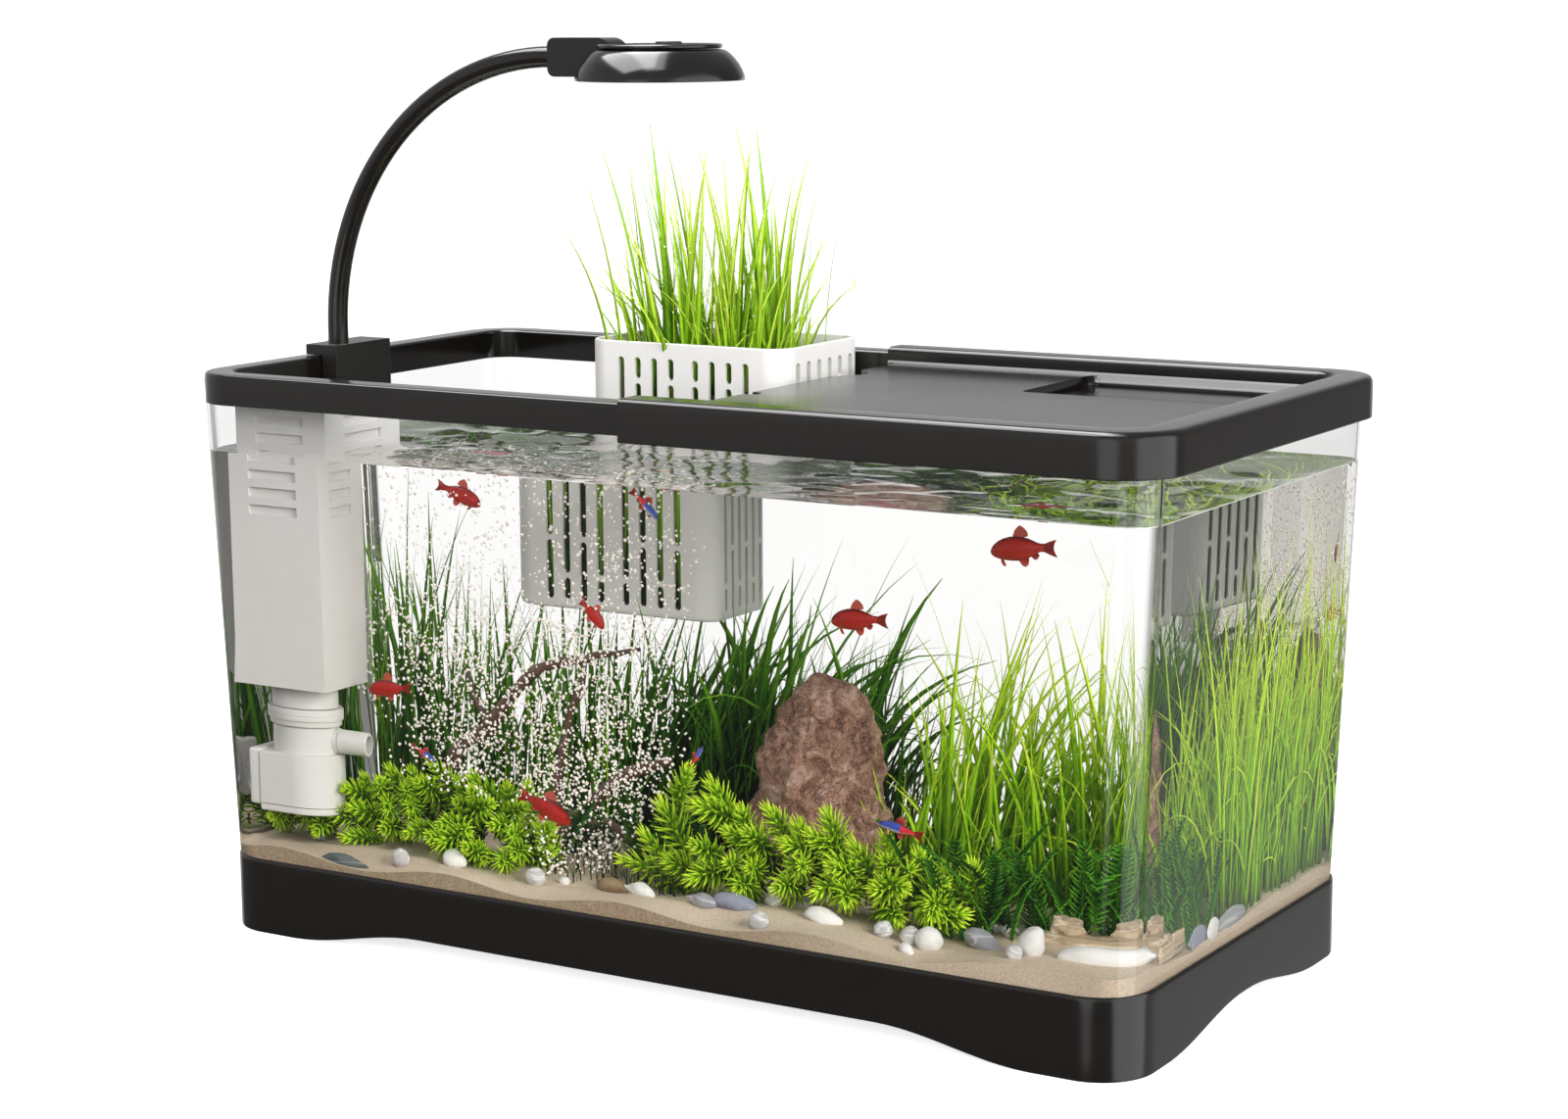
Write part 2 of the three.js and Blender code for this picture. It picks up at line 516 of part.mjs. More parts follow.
function rock() {
  const tiers = [[0, 30, 17], [16, 27, 15], [38, 21, 12], [60, 13, 8], [76, 4, 3]];
  const profile = [new THREE.Vector2(0, 0)];
  for (const [height, radius] of tiers) profile.push(new THREE.Vector2(radius, height));
  profile.push(new THREE.Vector2(0, 78));
  const geometry = new THREE.LatheGeometry(profile, 9).rotateX(Math.PI / 2);
  return solidOf(geometry.scale(1, 0.62, 1).translate(33, 22, GROUND));
}

// A root: a tapering bent branch lying on the sand.
function root(points, r) {
  const curve = new THREE.CatmullRomCurve3(points.map(([x, y, z]) => new THREE.Vector3(x, y, z)));
  const section = new THREE.Shape().absarc(0, 0, r, 0, 2 * Math.PI);
  return solidOf(new THREE.ExtrudeGeometry(section, { extrudePath: curve, steps: 12, curveSegments: 3 }));
}

const driftwood = () => joined([
  root([[-118, 20, 40], [-92, 24, 62], [-62, 28, 76], [-22, 30, 84]], 3.2),
  root([[-80, 0, 38], [-84, 16, 52], [-92, 24, 62]], 2.8),
]);

// ---------------------------------------------------------------- assembly
const object = new THREE.Group();

function node(name, solid, material) {
  const mesh = new THREE.Mesh(geometryOf(solid), material);
  mesh.name = name;
  object.add(mesh);
}

node('base_tray', baseTray(), MATERIAL.black);
for (const [name, x, y] of feet()) node(name, disc(x, y, FOOT.r, 0, FOOT.thick, 20), MATERIAL.rubber);
node('tank', tank(), MATERIAL.clear);
node('rim_frame', rimFrame(), MATERIAL.black);
node('lid_cover', lidCover(), MATERIAL.black);

node('plant_basket', basket(), MATERIAL.white);
node('planting_medium', plantingMedium(), MATERIAL.clay);
node('wheatgrass', tuft(BASKET.cx, BASKET.cy, 43.2, 28.8, MEDIUM_TOP + GAP, 296, -9, -13, 8), MATERIAL.grass);

node('lamp_bracket', lampBracket(), MATERIAL.satin);
node('lamp_cord_gland', rodX(BRACKET.left - 2.6, BRACKET.left - GAP, -12, 217.8, 1.9, 12), MATERIAL.rubber);
node('swivel_bush', swivelBush(), MATERIAL.board);
node('arm_tube', armTube(), MATERIAL.black);
node('lamp_joint_block', lampJointBlock(), MATERIAL.black);
node('tilt_pin', tiltPin(), MATERIAL.steel);
node('lamp_shade', lampShade(), MATERIAL.black);
node('lamp_cap', lampCap(), MATERIAL.black);
node('lamp_button', lampButton(), MATERIAL.satin);
node('led_board', ledBoard(), MATERIAL.board);
node('lamp_diffuser', diffuser(), MATERIAL.diffuser);

node('filter_box', filterBox(), MATERIAL.white);
node('filter_cover', filterCover(), MATERIAL.white);
node('filter_sponge', filterSponge(), MATERIAL.sponge);
node('filter_neck', filterNeck(), MATERIAL.white);
node('collar_ring', collarRing(), MATERIAL.white);
node('pump_housing', pumpHousing(), MATERIAL.white);
node('pump_foot', pumpFoot(), MATERIAL.white);
node('outlet_nozzle', outletNozzle(), MATERIAL.white);
node('impeller', impeller(), MATERIAL.magnet);
node('impeller_shaft', impellerShaft(), MATERIAL.steel);
node('pump_gland', pumpGland(), MATERIAL.rubber);
node('holder_plate', holderPlate(), MATERIAL.white);
for (const [name, y] of [['suction_cup_front', -69], ['suction_cup_back', -50]]) {
  node(name, rodX(-188.2, PUMP.back - 4.6 - GAP, y, PUMP.bottom + 13, 7, 16), MATERIAL.rubber);
}

node('sand_bed', sandBed(), MATERIAL.sand);
node('feature_rock', rock(), MATERIAL.rock);
node('driftwood', driftwood(), MATERIAL.wood);
const STONES = [
  ['pebble_white', [166, -72, 13, 6, 4.4, 0.1], MATERIAL.pebble],
  ['pebble_grey', [124, -76, 11, 5.5, 4.4, -0.4], MATERIAL.slate],
  ['pebble_upright', [145, -80, 5.5, 5, 5.5, 0.4], MATERIAL.pebble],
  ['pebble_blue', [32, -76, 8, 6, 4.4, 0.2], MATERIAL.slate],
  ['pebble_pale', [-9, -78, 8, 5, 4.4, 0.3], MATERIAL.pebble],
  ['pebble_slate', [-146, -78, 15, 8, 3.2, 0.2], MATERIAL.slate],
];
for (const [name, sizes, material] of STONES) node(name, stone(...sizes), material);
node('hornwort_left', tuft(-100, -44, 36, 15, GROUND, 58, -8, -5), MATERIAL.moss);
node('hornwort_middle', tuft(42, -42, 54, 15, GROUND, 62, -14, -6), MATERIAL.moss);
node('fern_right', tuft(140, -40, 32, 18, GROUND, 54, -6, -6), MATERIAL.leaf);
node('grass_back', tuft(-20, 66, 44, 16, GROUND, 116, 0, 0), MATERIAL.leaf);
node('grass_right', tuft(108, 40, 36, 26, GROUND, 128, 0, 0), MATERIAL.grass);
node('grass_tall', tuft(168, 50, 14, 34, GROUND, 168, 0, 0), MATERIAL.grass);

export default object;
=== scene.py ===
"""Desktop aquarium on a low plinth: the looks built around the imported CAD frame."""
import json
import math
import random

import bmesh
import bpy
from mathutils import Matrix, Vector, noise


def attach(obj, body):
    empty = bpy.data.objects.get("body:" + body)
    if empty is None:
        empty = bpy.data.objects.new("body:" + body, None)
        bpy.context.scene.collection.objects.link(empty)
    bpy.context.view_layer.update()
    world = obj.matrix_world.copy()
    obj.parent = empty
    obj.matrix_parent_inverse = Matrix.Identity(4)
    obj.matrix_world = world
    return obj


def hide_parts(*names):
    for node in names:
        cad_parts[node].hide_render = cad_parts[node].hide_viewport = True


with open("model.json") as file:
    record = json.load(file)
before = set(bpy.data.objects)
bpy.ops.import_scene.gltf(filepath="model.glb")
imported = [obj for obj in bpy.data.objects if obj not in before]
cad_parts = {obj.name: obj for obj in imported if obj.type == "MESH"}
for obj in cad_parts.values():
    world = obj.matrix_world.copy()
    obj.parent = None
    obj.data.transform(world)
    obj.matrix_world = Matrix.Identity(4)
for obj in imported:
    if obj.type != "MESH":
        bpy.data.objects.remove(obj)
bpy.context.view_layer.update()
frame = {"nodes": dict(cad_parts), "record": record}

MM = 0.001
SCENE = bpy.context.scene

# ------------------------------------------------------------------ dimensions, in mm
TANK_BOTTOM, TANK_TOP, TANK_WALL, TANK_FLOOR = 14.3, 213.0, 2.6, 17.3
WATER = 185.0
ARM_X, ARM_Y, ARM_R, ARCH_R, ARM_START = -185.3, -24.0, 3.95, 105.2, 226.4
HEAD_X, HEAD_Y = -32.4, -24.0
BUTTON_X = HEAD_X + 4
TILT_X, TILT_Z = -54.5, 331.5
PUMP_X, PUMP_Y, SPOUT_Z = -165.4, -59.5, 73.8
FILTER_WALLS = -188.4, -145.0, -82.0, -37.0
BASKET_X, BASKET_Y, BASKET_HX, BASKET_HY = -56.7, 57.1, 45.5, 31.1
SLOT_LOW, SLOT_HIGH, BAR = 127.6, 214.8, 0.9
MEDIUM_TOP, BLADE_TOP = 197.0, 305.0


# ------------------------------------------------------------------ mesh helpers
class Shape:
    """Vertices in mm, faces, a shade per vertex and a material number per face."""

    def __init__(self):
        self.verts, self.faces, self.shade, self.mats = [], [], [], []

    def add(self, made, shade=0.5, mat=0):
        verts, faces = made
        base = len(self.verts)
        self.verts.extend(verts)
        self.faces.extend(tuple(base + i for i in face) for face in faces)
        self.shade.extend(shade if isinstance(shade, list) else [shade] * len(verts))
        self.mats.extend([mat] * len(faces))
        return self


def shape(*parts):
    whole = Shape()
    for part in parts:
        whole.add(part)
    return whole


def make(name, made, materials, body=None, replaces=(), sharp=35, recalc=True, shaded=False):
    mesh = bpy.data.meshes.new(name)
    mesh.from_pydata([(x * MM, y * MM, z * MM) for x, y, z in made.verts], [], made.faces)
    if recalc:
        work = bmesh.new()
        work.from_mesh(mesh)
        bmesh.ops.recalc_face_normals(work, faces=work.faces)
        work.to_mesh(mesh)
        work.free()
    if shaded:
        values = mesh.attributes.new("shade", "FLOAT", "POINT")
        values.data.foreach_set("value", made.shade)
    for material in materials if isinstance(materials, (list, tuple)) else [materials]:
        mesh.materials.append(material)
    mesh.polygons.foreach_set("material_index", made.mats)
    obj = bpy.data.objects.new(name, mesh)
    SCENE.collection.objects.link(obj)
    finish_shading(obj, sharp)
    if body:
        place(obj, body, replaces)
    return obj


def finish_shading(obj, sharp):
    obj.data.shade_smooth()
    if sharp:
        obj.data.set_sharp_from_angle(angle=math.radians(sharp))


def place(obj, body, replaces=()):
    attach(obj, body)
    if replaces:
        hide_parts(*replaces)


def baked(obj):
    """Applies every modifier."""
    graph = bpy.context.evaluated_depsgraph_get()
    mesh = bpy.data.meshes.new_from_object(obj.evaluated_get(graph))
    old = obj.data
    obj.modifiers.clear()
    obj.data = mesh
    bpy.data.meshes.remove(old)


def carve(obj, made, how="DIFFERENCE"):
    """Cuts the closed shapes in made out of obj, or joins them to it."""
    cutter = make("cutter", made, [])
    change = obj.modifiers.new("carve", "BOOLEAN")
    change.operation, change.solver, change.object = how, "EXACT", cutter
    baked(obj)
    bpy.data.objects.remove(cutter)


def bevel(obj, width, segments=2, angle=40):
    change = obj.modifiers.new("bevel", "BEVEL")
    change.width, change.segments, change.limit_method = width * MM, segments, "ANGLE"
    change.angle_limit = math.radians(angle)
    change.use_clamp_overlap = True
    baked(obj)
    finish_shading(obj, 35)


def weighted(obj):
    change = obj.modifiers.new("normals", "WEIGHTED_NORMAL")
    change.keep_sharp = True


def fit(obj, body, node):
    """Places a finished moulding that stands for one CAD node."""
    place(obj, body, [node])
    weighted(obj)


def grow(name, made, material, replaces=(), body="tank_unit"):
    """A piece made of many small shaded leaves, whose faces already point outwards."""
    make(name, made, material, body, replaces, sharp=0, recalc=False, shaded=True)


def rounded_loop(hx, hy, r, cx=0.0, cy=0.0, corner=10, along=(24, 12)):
    """Points of a rounded rectangle, anticlockwise."""
    points = []
    corners = [(hx - r, hy - r), (r - hx, hy - r), (r - hx, r - hy), (hx - r, r - hy)]
    for i, (x, y) in enumerate(corners):
        for k in range(corner + 1):
            a = math.pi / 2 * (i + k / corner)
            points.append((cx + x + r * math.cos(a), cy + y + r * math.sin(a)))
        a = math.pi / 2 * (i + 1)
        x2, y2 = corners[(i + 1) % 4]
        steps = along[i % 2]
        for k in range(1, steps):
            t = k / steps
            points.append((cx + x + (x2 - x) * t + r * math.cos(a), cy + y + (y2 - y) * t + r * math.sin(a)))
    return points


def loft(rings, closed=False):
    """Rings of equal count joined in turn. closed joins the last to the first, else both ends are capped."""
    n, count = len(rings[0]), len(rings)
    verts = [tuple(p) for ring in rings for p in ring]
    faces = []
    for i in range(count if closed else count - 1):
        a, b = i * n, (i + 1) % count * n
        faces.extend((a + j, a + (j + 1) % n, b + (j + 1) % n, b + j) for j in range(n))
    if not closed:
        faces.append(tuple(range(n - 1, -1, -1)))
        faces.append(tuple((count - 1) * n + j for j in range(n)))
    return verts, faces


def frame_sweep(profile, **loop):
    """A closed profile of (half x, half y, corner radius, z) swept round a rounded rectangle."""
    return loft([[(x, y, z) for x, y in rounded_loop(hx, hy, r, **loop)] for hx, hy, r, z in profile],
                closed=True)


def slab(hx, hy, r, z0, z1, **loop):
    return loft([[(x, y, z) for x, y in rounded_loop(hx, hy, r, **loop)] for z in (z0, z1)])


def box(x0, x1, y0, y1, z0, z1):
    ring = [(x0, y0), (x1, y0), (x1, y1), (x0, y1)]
    return loft([[(x, y, z) for x, y in ring] for z in (z0, z1)])


def prism(outline, axis, a, b):
    """An outline of (u, v) points run from a to b along an axis. u and v are the other two axes, in order."""
    place_at = {"x": lambda u, v, w: (w, u, v), "y": lambda u, v, w: (u, w, v), "z": lambda u, v,
                w: (u, v, w)}[axis]
    return loft([[place_at(u, v, w) for u, v in outline] for w in (a, b)])


def circle(cx, cy, r, n=32, start=0.0, turn=360.0):
    """Points on an arc; a full circle leaves out its last point."""
    full = turn == 360.0
    return [(cx + r * math.cos(math.radians(start + turn * k / (n if full else n - 1))),
             cy + r * math.sin(math.radians(start + turn * k / (n if full else n - 1)))) for k in range(n)]


def lathe(profile, cx, cy, n=64):
    """A profile of (radius, z) turned about the upright line through cx, cy, with flat caps at its ends."""
    rings = []
    for r, z in profile:
        rings.append([(x, y, z) for x, y in circle(cx, cy, max(r, 0.02), n)])
    return loft(rings)


def tube(points, radius, sides=12):
    """A round tube through the points. radius is one number or one for each point."""
    path = [Vector(p) for p in points]
    last = len(path) - 1
    rings, normal = [], None
    for i, p in enumerate(path):
        along = (path[min(i + 1, last)] - path[max(i - 1, 0)]).normalized()
        if normal is None:
            helper = Vector((0, 0, 1)) if abs(along.z) < 0.9 else Vector((1, 0, 0))
            normal = along.cross(helper).normalized()
        normal = (normal - along * normal.dot(along)).normalized()
        across = along.cross(normal)
        r = radius[i] if isinstance(radius, (list, tuple)) else radius
        ring = []
        for k in range(sides):
            a = 2 * math.pi * k / sides
            ring.append(tuple(p + (normal * math.cos(a) + across * math.sin(a)) * r))
        rings.append(ring)
    return loft(rings)


def smooth_step(value, zero, one):
    t = min(max((value - zero) / (one - zero), 0.0), 1.0)
    return 0.5 - 0.5 * math.cos(math.pi * t)


def between(at, table):
    """The value at a place in a table of (place, value), in straight lines; past its end, the last value."""
    for (x0, v0), (x1, v1) in zip(table, table[1:]):
        if x0 <= at <= x1:
            return v0 + (v1 - v0) * (at - x0) / (x1 - x0)
    return table[-1][1]


def noise_at(x, y, z):
    return noise.noise(Vector((x, y, z)))


def globe(rows, n):
    """Rings of unit vectors round the x axis, from -x to +x."""
    rings = []
    for i in range(1, rows):
        lat = math.pi * i / rows - math.pi / 2
        around = [2 * math.pi * k / n for k in range(n)]
        rings.append([Vector((math.sin(lat), math.cos(lat) * math.cos(a), math.cos(lat) * math.sin(a)))
                      for a in around])
    return rings


# ------------------------------------------------------------------ materials
class Paint:
    """A Principled material and short ways to drive its sockets with procedural nodes."""

    def __init__(self, name, color, rough, **extra):
        self.mat = bpy.data.materials.new(name)
        self.mat.use_nodes = True
        self.tree = self.mat.node_tree
        self.bsdf = self.tree.nodes["Principled BSDF"]
        self.set("Base Color", (*color, 1.0))
        self.set("Roughness", rough)
        for key, value in extra.items():
            self.set(key.replace("_", " "), value)

    def set(self, socket, value):
        self.bsdf.inputs[socket].default_value = value

    def node(self, kind, **values):
        node = self.tree.nodes.new(kind)
        for key, value in values.items():
            setattr(node, key, value)
        return node

    def link(self, output, socket):
        self.tree.links.new(output, socket)

    def place(self, stretch):
        where = self.node("ShaderNodeTexCoord").outputs["Object"]
        if stretch == (1, 1, 1):
            return where
        mapping = self.node("ShaderNodeMapping")
        mapping.inputs["Scale"].default_value = stretch
        self.link(where, mapping.inputs["Vector"])
        return mapping.outputs["Vector"]

    def noise(self, scale, detail=3.0, rough=0.55, distortion=0.0, stretch=(1, 1, 1)):
        node = self.node("ShaderNodeTexNoise")
        for key, value in (("Scale", scale), ("Detail", detail), ("Roughness", rough),
                           ("Distortion", distortion)):
            node.inputs[key].default_value = value
        self.link(self.place(stretch), node.inputs["Vector"])
        return node.outputs["Fac"]

    def cells(self, scale, output="Color", feature="F1", stretch=(1, 1, 1)):
        node = self.node("ShaderNodeTexVoronoi", feature=feature)
        node.inputs["Scale"].default_value = scale
        self.link(self.place(stretch), node.inputs["Vector"])
        return node.outputs[output]

    def shade(self):
        return self.node("ShaderNodeAttribute", attribute_name="shade").outputs["Fac"]

    def ramp(self, fac, stops):
        node = self.node("ShaderNodeValToRGB")
        ramp = node.color_ramp
        while len(ramp.elements) < len(stops):
            ramp.elements.new(0.5)
        for element, (at, color) in zip(ramp.elements, stops):
            element.position = at
            element.color = (*color, 1.0) if len(color) == 3 else color
        self.link(fac, node.inputs["Fac"])
        return node.outputs["Color"]

    def mask(self, fac, low, high):
        """Black up to low, white from high on."""
        return self.ramp(fac, [(low, (0, 0, 0)), (high, (1, 1, 1))])

    def span(self, fac, low, high, from_low=0.0, from_high=1.0):
        node = self.node("ShaderNodeMapRange")
        for key, value in (("From Min", from_low), ("From Max", from_high), ("To Min", low),
                           ("To Max", high)):
            node.inputs[key].default_value = value
        self.link(fac, node.inputs["Value"])
        return node.outputs["Result"]

    def math(self, operation, a, b):
        node = self.node("ShaderNodeMath", operation=operation)
        for value, socket in ((a, node.inputs[0]), (b, node.inputs[1])):
            if isinstance(value, (int, float)):
                socket.default_value = value
            else:
                self.link(value, socket)
        return node.outputs[0]

    def mix(self, fac, a, b, blend="MIX"):
        node = self.node("ShaderNodeMix", data_type="RGBA", blend_type=blend)
        for value, socket in ((fac, node.inputs["Factor"]), (a, node.inputs[6]), (b, node.inputs[7])):
            if isinstance(value, (int, float)):
                socket.default_value = value
            elif isinstance(value, tuple):
                socket.default_value = (*value, 1.0)
            else:
                self.link(value, socket)
        return node.outputs[2]

    def drive(self, socket, output):
        self.link(output, self.bsdf.inputs[socket])

    def bump(self, height, strength, distance):
        node = self.node("ShaderNodeBump")
        node.inputs["Strength"].default_value = strength
        node.inputs["Distance"].default_value = distance * MM
        self.link(height, node.inputs["Height"])
        self.link(node.outputs["Normal"], self.bsdf.inputs["Normal"])


def plastic(name, color, rough, grain, spread=0.05, depth=0.02, lift=0.18):
    """Moulded plastic: a fine surface grain, and gloss that varies a little from place to place."""
    paint = Paint(name, color, rough)
    patches = paint.noise(40, 4)
    paint.drive("Roughness", paint.span(patches, rough - spread, rough + spread, 0.3, 0.7))
    lighter = tuple(min(1.0, c * (1 + lift)) for c in color)
    paint.drive("Base Color", paint.ramp(paint.noise(140, 3), [(0.35, color), (0.75, lighter)]))
    paint.bump(paint.noise(grain, 3), 0.25, depth)
    return paint


def clear(name, color, ior, rough=0.0):
    """A clear body that light can reach through: shadow rays pass straight."""
    paint = Paint(name, color, rough, IOR=ior, Transmission_Weight=1.0)
    straight = paint.node("ShaderNodeBsdfTransparent")
    straight.inputs["Color"].default_value = (*color, 1.0)
    either = paint.node("ShaderNodeMixShader")
    path = paint.node("ShaderNodeLightPath")
    paint.link(path.outputs["Is Shadow Ray"], either.inputs[0])
    paint.link(paint.bsdf.outputs[0], either.inputs[1])
    paint.link(straight.outputs[0], either.inputs[2])
    paint.link(either.outputs[0], paint.tree.nodes["Material Output"].inputs["Surface"])
    return paint


BLACK = plastic("black_gloss_plastic", (0.0040, 0.0033, 0.0027), rough=0.16, grain=900, spread=0.02,
                depth=0.004).mat
GLOSS = plastic("black_lamp_gloss", (0.0042, 0.0038, 0.0035), rough=0.15, grain=1100, spread=0.015,
                depth=0.003).mat
SATIN = plastic("black_satin_plastic", (0.008, 0.0072, 0.0064), rough=0.32, grain=1500, spread=0.05,
                depth=0.02).mat
LID_BLACK = plastic("black_lid_plastic", (0.0042, 0.0035, 0.0029), rough=0.18, grain=1300, spread=0.012,
                    depth=0.006).mat
WHITE = plastic("white_plastic", (0.69, 0.675, 0.655), rough=0.42, grain=1200, spread=0.04, depth=0.008,
                lift=0.03).mat
RUBBER = plastic("grey_rubber", (0.035, 0.035, 0.036), rough=0.7, grain=1800, spread=0.08, depth=0.03).mat
BOARD = plastic("lamp_board", (0.72, 0.73, 0.70), rough=0.5, grain=1600, spread=0.05, depth=0.01).mat
DIFFUSER = plastic("lamp_diffuser", (0.82, 0.82, 0.80), rough=0.55, grain=2200, spread=0.05, depth=0.02,
                   lift=0.05).mat
STEEL = plastic("brushed_steel", (0.50, 0.50, 0.51), rough=0.30, grain=2600, spread=0.06, depth=0.006,
                lift=0.1).mat
STEEL.node_tree.nodes["Principled BSDF"].inputs["Metallic"].default_value = 1.0
MAGNET = plastic("magnet_enamel", (0.045, 0.05, 0.055), rough=0.35, grain=1400, spread=0.08, depth=0.02,
                 lift=0.4).mat
SPONGE = plastic("filter_sponge", (0.03, 0.034, 0.04), rough=0.95, grain=700, spread=0.03, depth=0.6,
                 lift=1.2).mat
GLASS = clear("tank_glass", (0.998, 0.997, 0.993), ior=1.49).mat
WATER_CLEAR = clear("water", (0.998, 0.997, 0.993), ior=1.49).mat


def wetted(name, color):
    """Where glass and water touch, light goes straight on: their bend is all at the outer face."""
    paint = Paint(name, color, 0.05, Alpha=0.0)
    straight = paint.node("ShaderNodeBsdfTransparent")
    paint.link(paint.ramp(paint.noise(20, 2), [(0.3, color), (0.7, (1.0, 1.0, 1.0))]),
               straight.inputs["Color"])
    paint.link(straight.outputs[0], paint.tree.nodes["Material Output"].inputs["Surface"])
    return paint.mat


WETTED = wetted("wetted_face", (0.998, 0.996, 0.992))

# ------------------------------------------------------------------ camera
CAMERA_AT = Vector((0.62318, -1.01859, 0.35243))
CAMERA_TURN = (Matrix.Rotation(0.5438, 3,
                               "Z") @ Matrix.Rotation(1.4040, 3, "X") @ Matrix.Rotation(-0.0064, 3, "Z"))
camera_data = bpy.data.cameras.new("camera")
camera_data.sensor_width = 36.0
camera_data.sensor_fit = "HORIZONTAL"
camera_data.lens = 74.31
camera_data.shift_x, camera_data.shift_y = -0.0040, -0.0104
camera_data.clip_start, camera_data.clip_end = 0.01, 50.0
camera = bpy.data.objects.new("camera", camera_data)
camera.location = CAMERA_AT
camera.rotation_euler = CAMERA_TURN.to_euler()
SCENE.collection.objects.link(camera)
SCENE.camera = camera


# ------------------------------------------------------------------ stage and light
def softbox(name, at, aim, size, power, mirrored=False, lights=True):
    """A rectangular lamp. Glossy surfaces show it if mirrored; without lights it is only a highlight."""
    data = bpy.data.lights.new(name, "AREA")
    data.shape, data.size, data.size_y = "RECTANGLE", size[0], size[1]
    data.energy = power
    lamp = bpy.data.objects.new(name, data)
    lamp.location = at
    lamp.rotation_euler = (Vector(aim) - Vector(at)).to_track_quat("-Z", "Y").to_euler()
    lamp.visible_camera = False
    lamp.visible_glossy = mirrored
    lamp.visible_transmission = mirrored and lights
    lamp.visible_diffuse = lights
    SCENE.collection.objects.link(lamp)


def studio():
    """A white sweep behind the tank, darker in front and overhead so that black plastic stays black."""
    world = bpy.data.worlds.new("studio")
    SCENE.world = world
    world.use_nodes = True
    tree = world.node_tree
    link = tree.links.new
    direction = tree.nodes.new("ShaderNodeTexCoord").outputs["Generated"]

    def facing(vector):
        node = tree.nodes.new("ShaderNodeVectorMath")
        node.operation = "DOT_PRODUCT"
        node.inputs[1].default_value = vector
        link(direction, node.inputs[0])
        return node.outputs["Value"]

    def step(value, zero, one, low, high):
        node = tree.nodes.new("ShaderNodeMapRange")
        node.interpolation_type = "SMOOTHSTEP"
        for key, number in (("From Min", zero), ("From Max", one), ("To Min", low), ("To Max", high)):
            node.inputs[key].default_value = number
        link(value, node.inputs["Value"])
        return node.outputs["Result"]

    def either(operation, one, other):
        node = tree.nodes.new("ShaderNodeMath")
        node.operation = operation
        link(one, node.inputs[0])
        link(other, node.inputs[1])
        return node.outputs[0]

    def blend(fac, one, other):
        node = tree.nodes.new("ShaderNodeMix")
        link(fac, node.inputs["Factor"])
        for value, socket in ((one, node.inputs["A"]), (other, node.inputs["B"])):
            if isinstance(value, float):
                socket.default_value = value
            else:
                link(value, socket)
        return node.outputs["Result"]

    up = facing((0, 0, 1))
    sweep = either("MULTIPLY", step(facing((-0.522, 0.853, 0.0)), 0.60, 0.90, 0.0, 1.05),
                   step(up, 0.035, 0.10, 1.0, 0.50))
    right = facing((0.522, 0.853, 0.0))
    above = step(right, 0.25, 0.95, 0.62, 0.22)
    below = either("MAXIMUM",
                   either("MULTIPLY", step(right, -0.3, 0.8, 0.0, 1.0), step(up, -0.30, -0.11, 0.48, 0.20)),
                   step(right, -1.0, 1.0, 0.14, 0.14))
    sides = either("MAXIMUM", sweep, blend(step(up, -0.26, -0.06, 0.0, 1.0), below, above))
    streaks = either("MAXIMUM", step(facing((0.998, -0.06, 0.0)), 0.72, 0.84, 0.0, 2.0),
                     step(facing((0.04, -0.999, 0.0)), 0.925, 0.965, 0.0, 1.5))
    whole = blend(step(up, 0.3, 0.8, 0.0, 1.0), either("MAXIMUM", sides, streaks), 0.35)
    background = tree.nodes["Background"]
    link(whole, background.inputs["Strength"])
    background.inputs["Color"].default_value = (1, 1, 1, 1)


def studio_floor():
    """A white ground plane that reflections and the view through the tank leave out."""
    paint = Paint("studio_floor", (0.9, 0.9, 0.9), 0.9)
    tone = paint.ramp(paint.noise(3, 2), [(0.3, (0.90, 0.90, 0.90)), (0.7, (0.92, 0.92, 0.92))])
    paint.drive("Base Color", tone)
    paint.drive("Emission Color", tone)
    paint.set("Emission Strength", 0.8)
    corners = [(x * 6000, y * 6000, 0) for x, y in ((-1, -1), (1, -1), (1, 1), (-1, 1))]
    floor = make("studio_floor", shape((corners, [(0, 1, 2, 3)])), paint.mat, recalc=False)
    floor.visible_glossy = floor.visible_transmission = False


studio_floor()
studio()
softbox("overhead_softbox", at=(-0.15, -0.1, 1.45), aim=(0, 0, 0.15), size=(1.7, 0.5), power=13,
        mirrored=True)
softbox("edge_softbox", at=(-0.45, -0.2, 1.4), aim=(-0.05, 0, 0.2), size=(1.5, 0.9), power=34, mirrored=True,
        lights=False)
softbox("right_softbox", at=(1.5, -0.75, 0.7), aim=(0, 0, 0.15), size=(0.9, 1.0), power=34)
softbox("front_softbox", at=(-0.3, -1.7, 0.8), aim=(0, 0, 0.15), size=(1.0, 0.8), power=15)
softbox("back_softbox", at=(-0.3, 1.5, 1.0), aim=(0, 0, 0.1), size=(1.2, 0.8), power=10)
SCENE.view_settings.view_transform = "Standard"
SCENE.cycles.max_bounces = 24
SCENE.cycles.transmission_bounces = 24
SCENE.cycles.transparent_max_bounces = 48
SCENE.cycles.glossy_bounces = 8
SCENE.cycles.diffuse_bounces = 4
SCENE.cycles.caustics_refractive = False


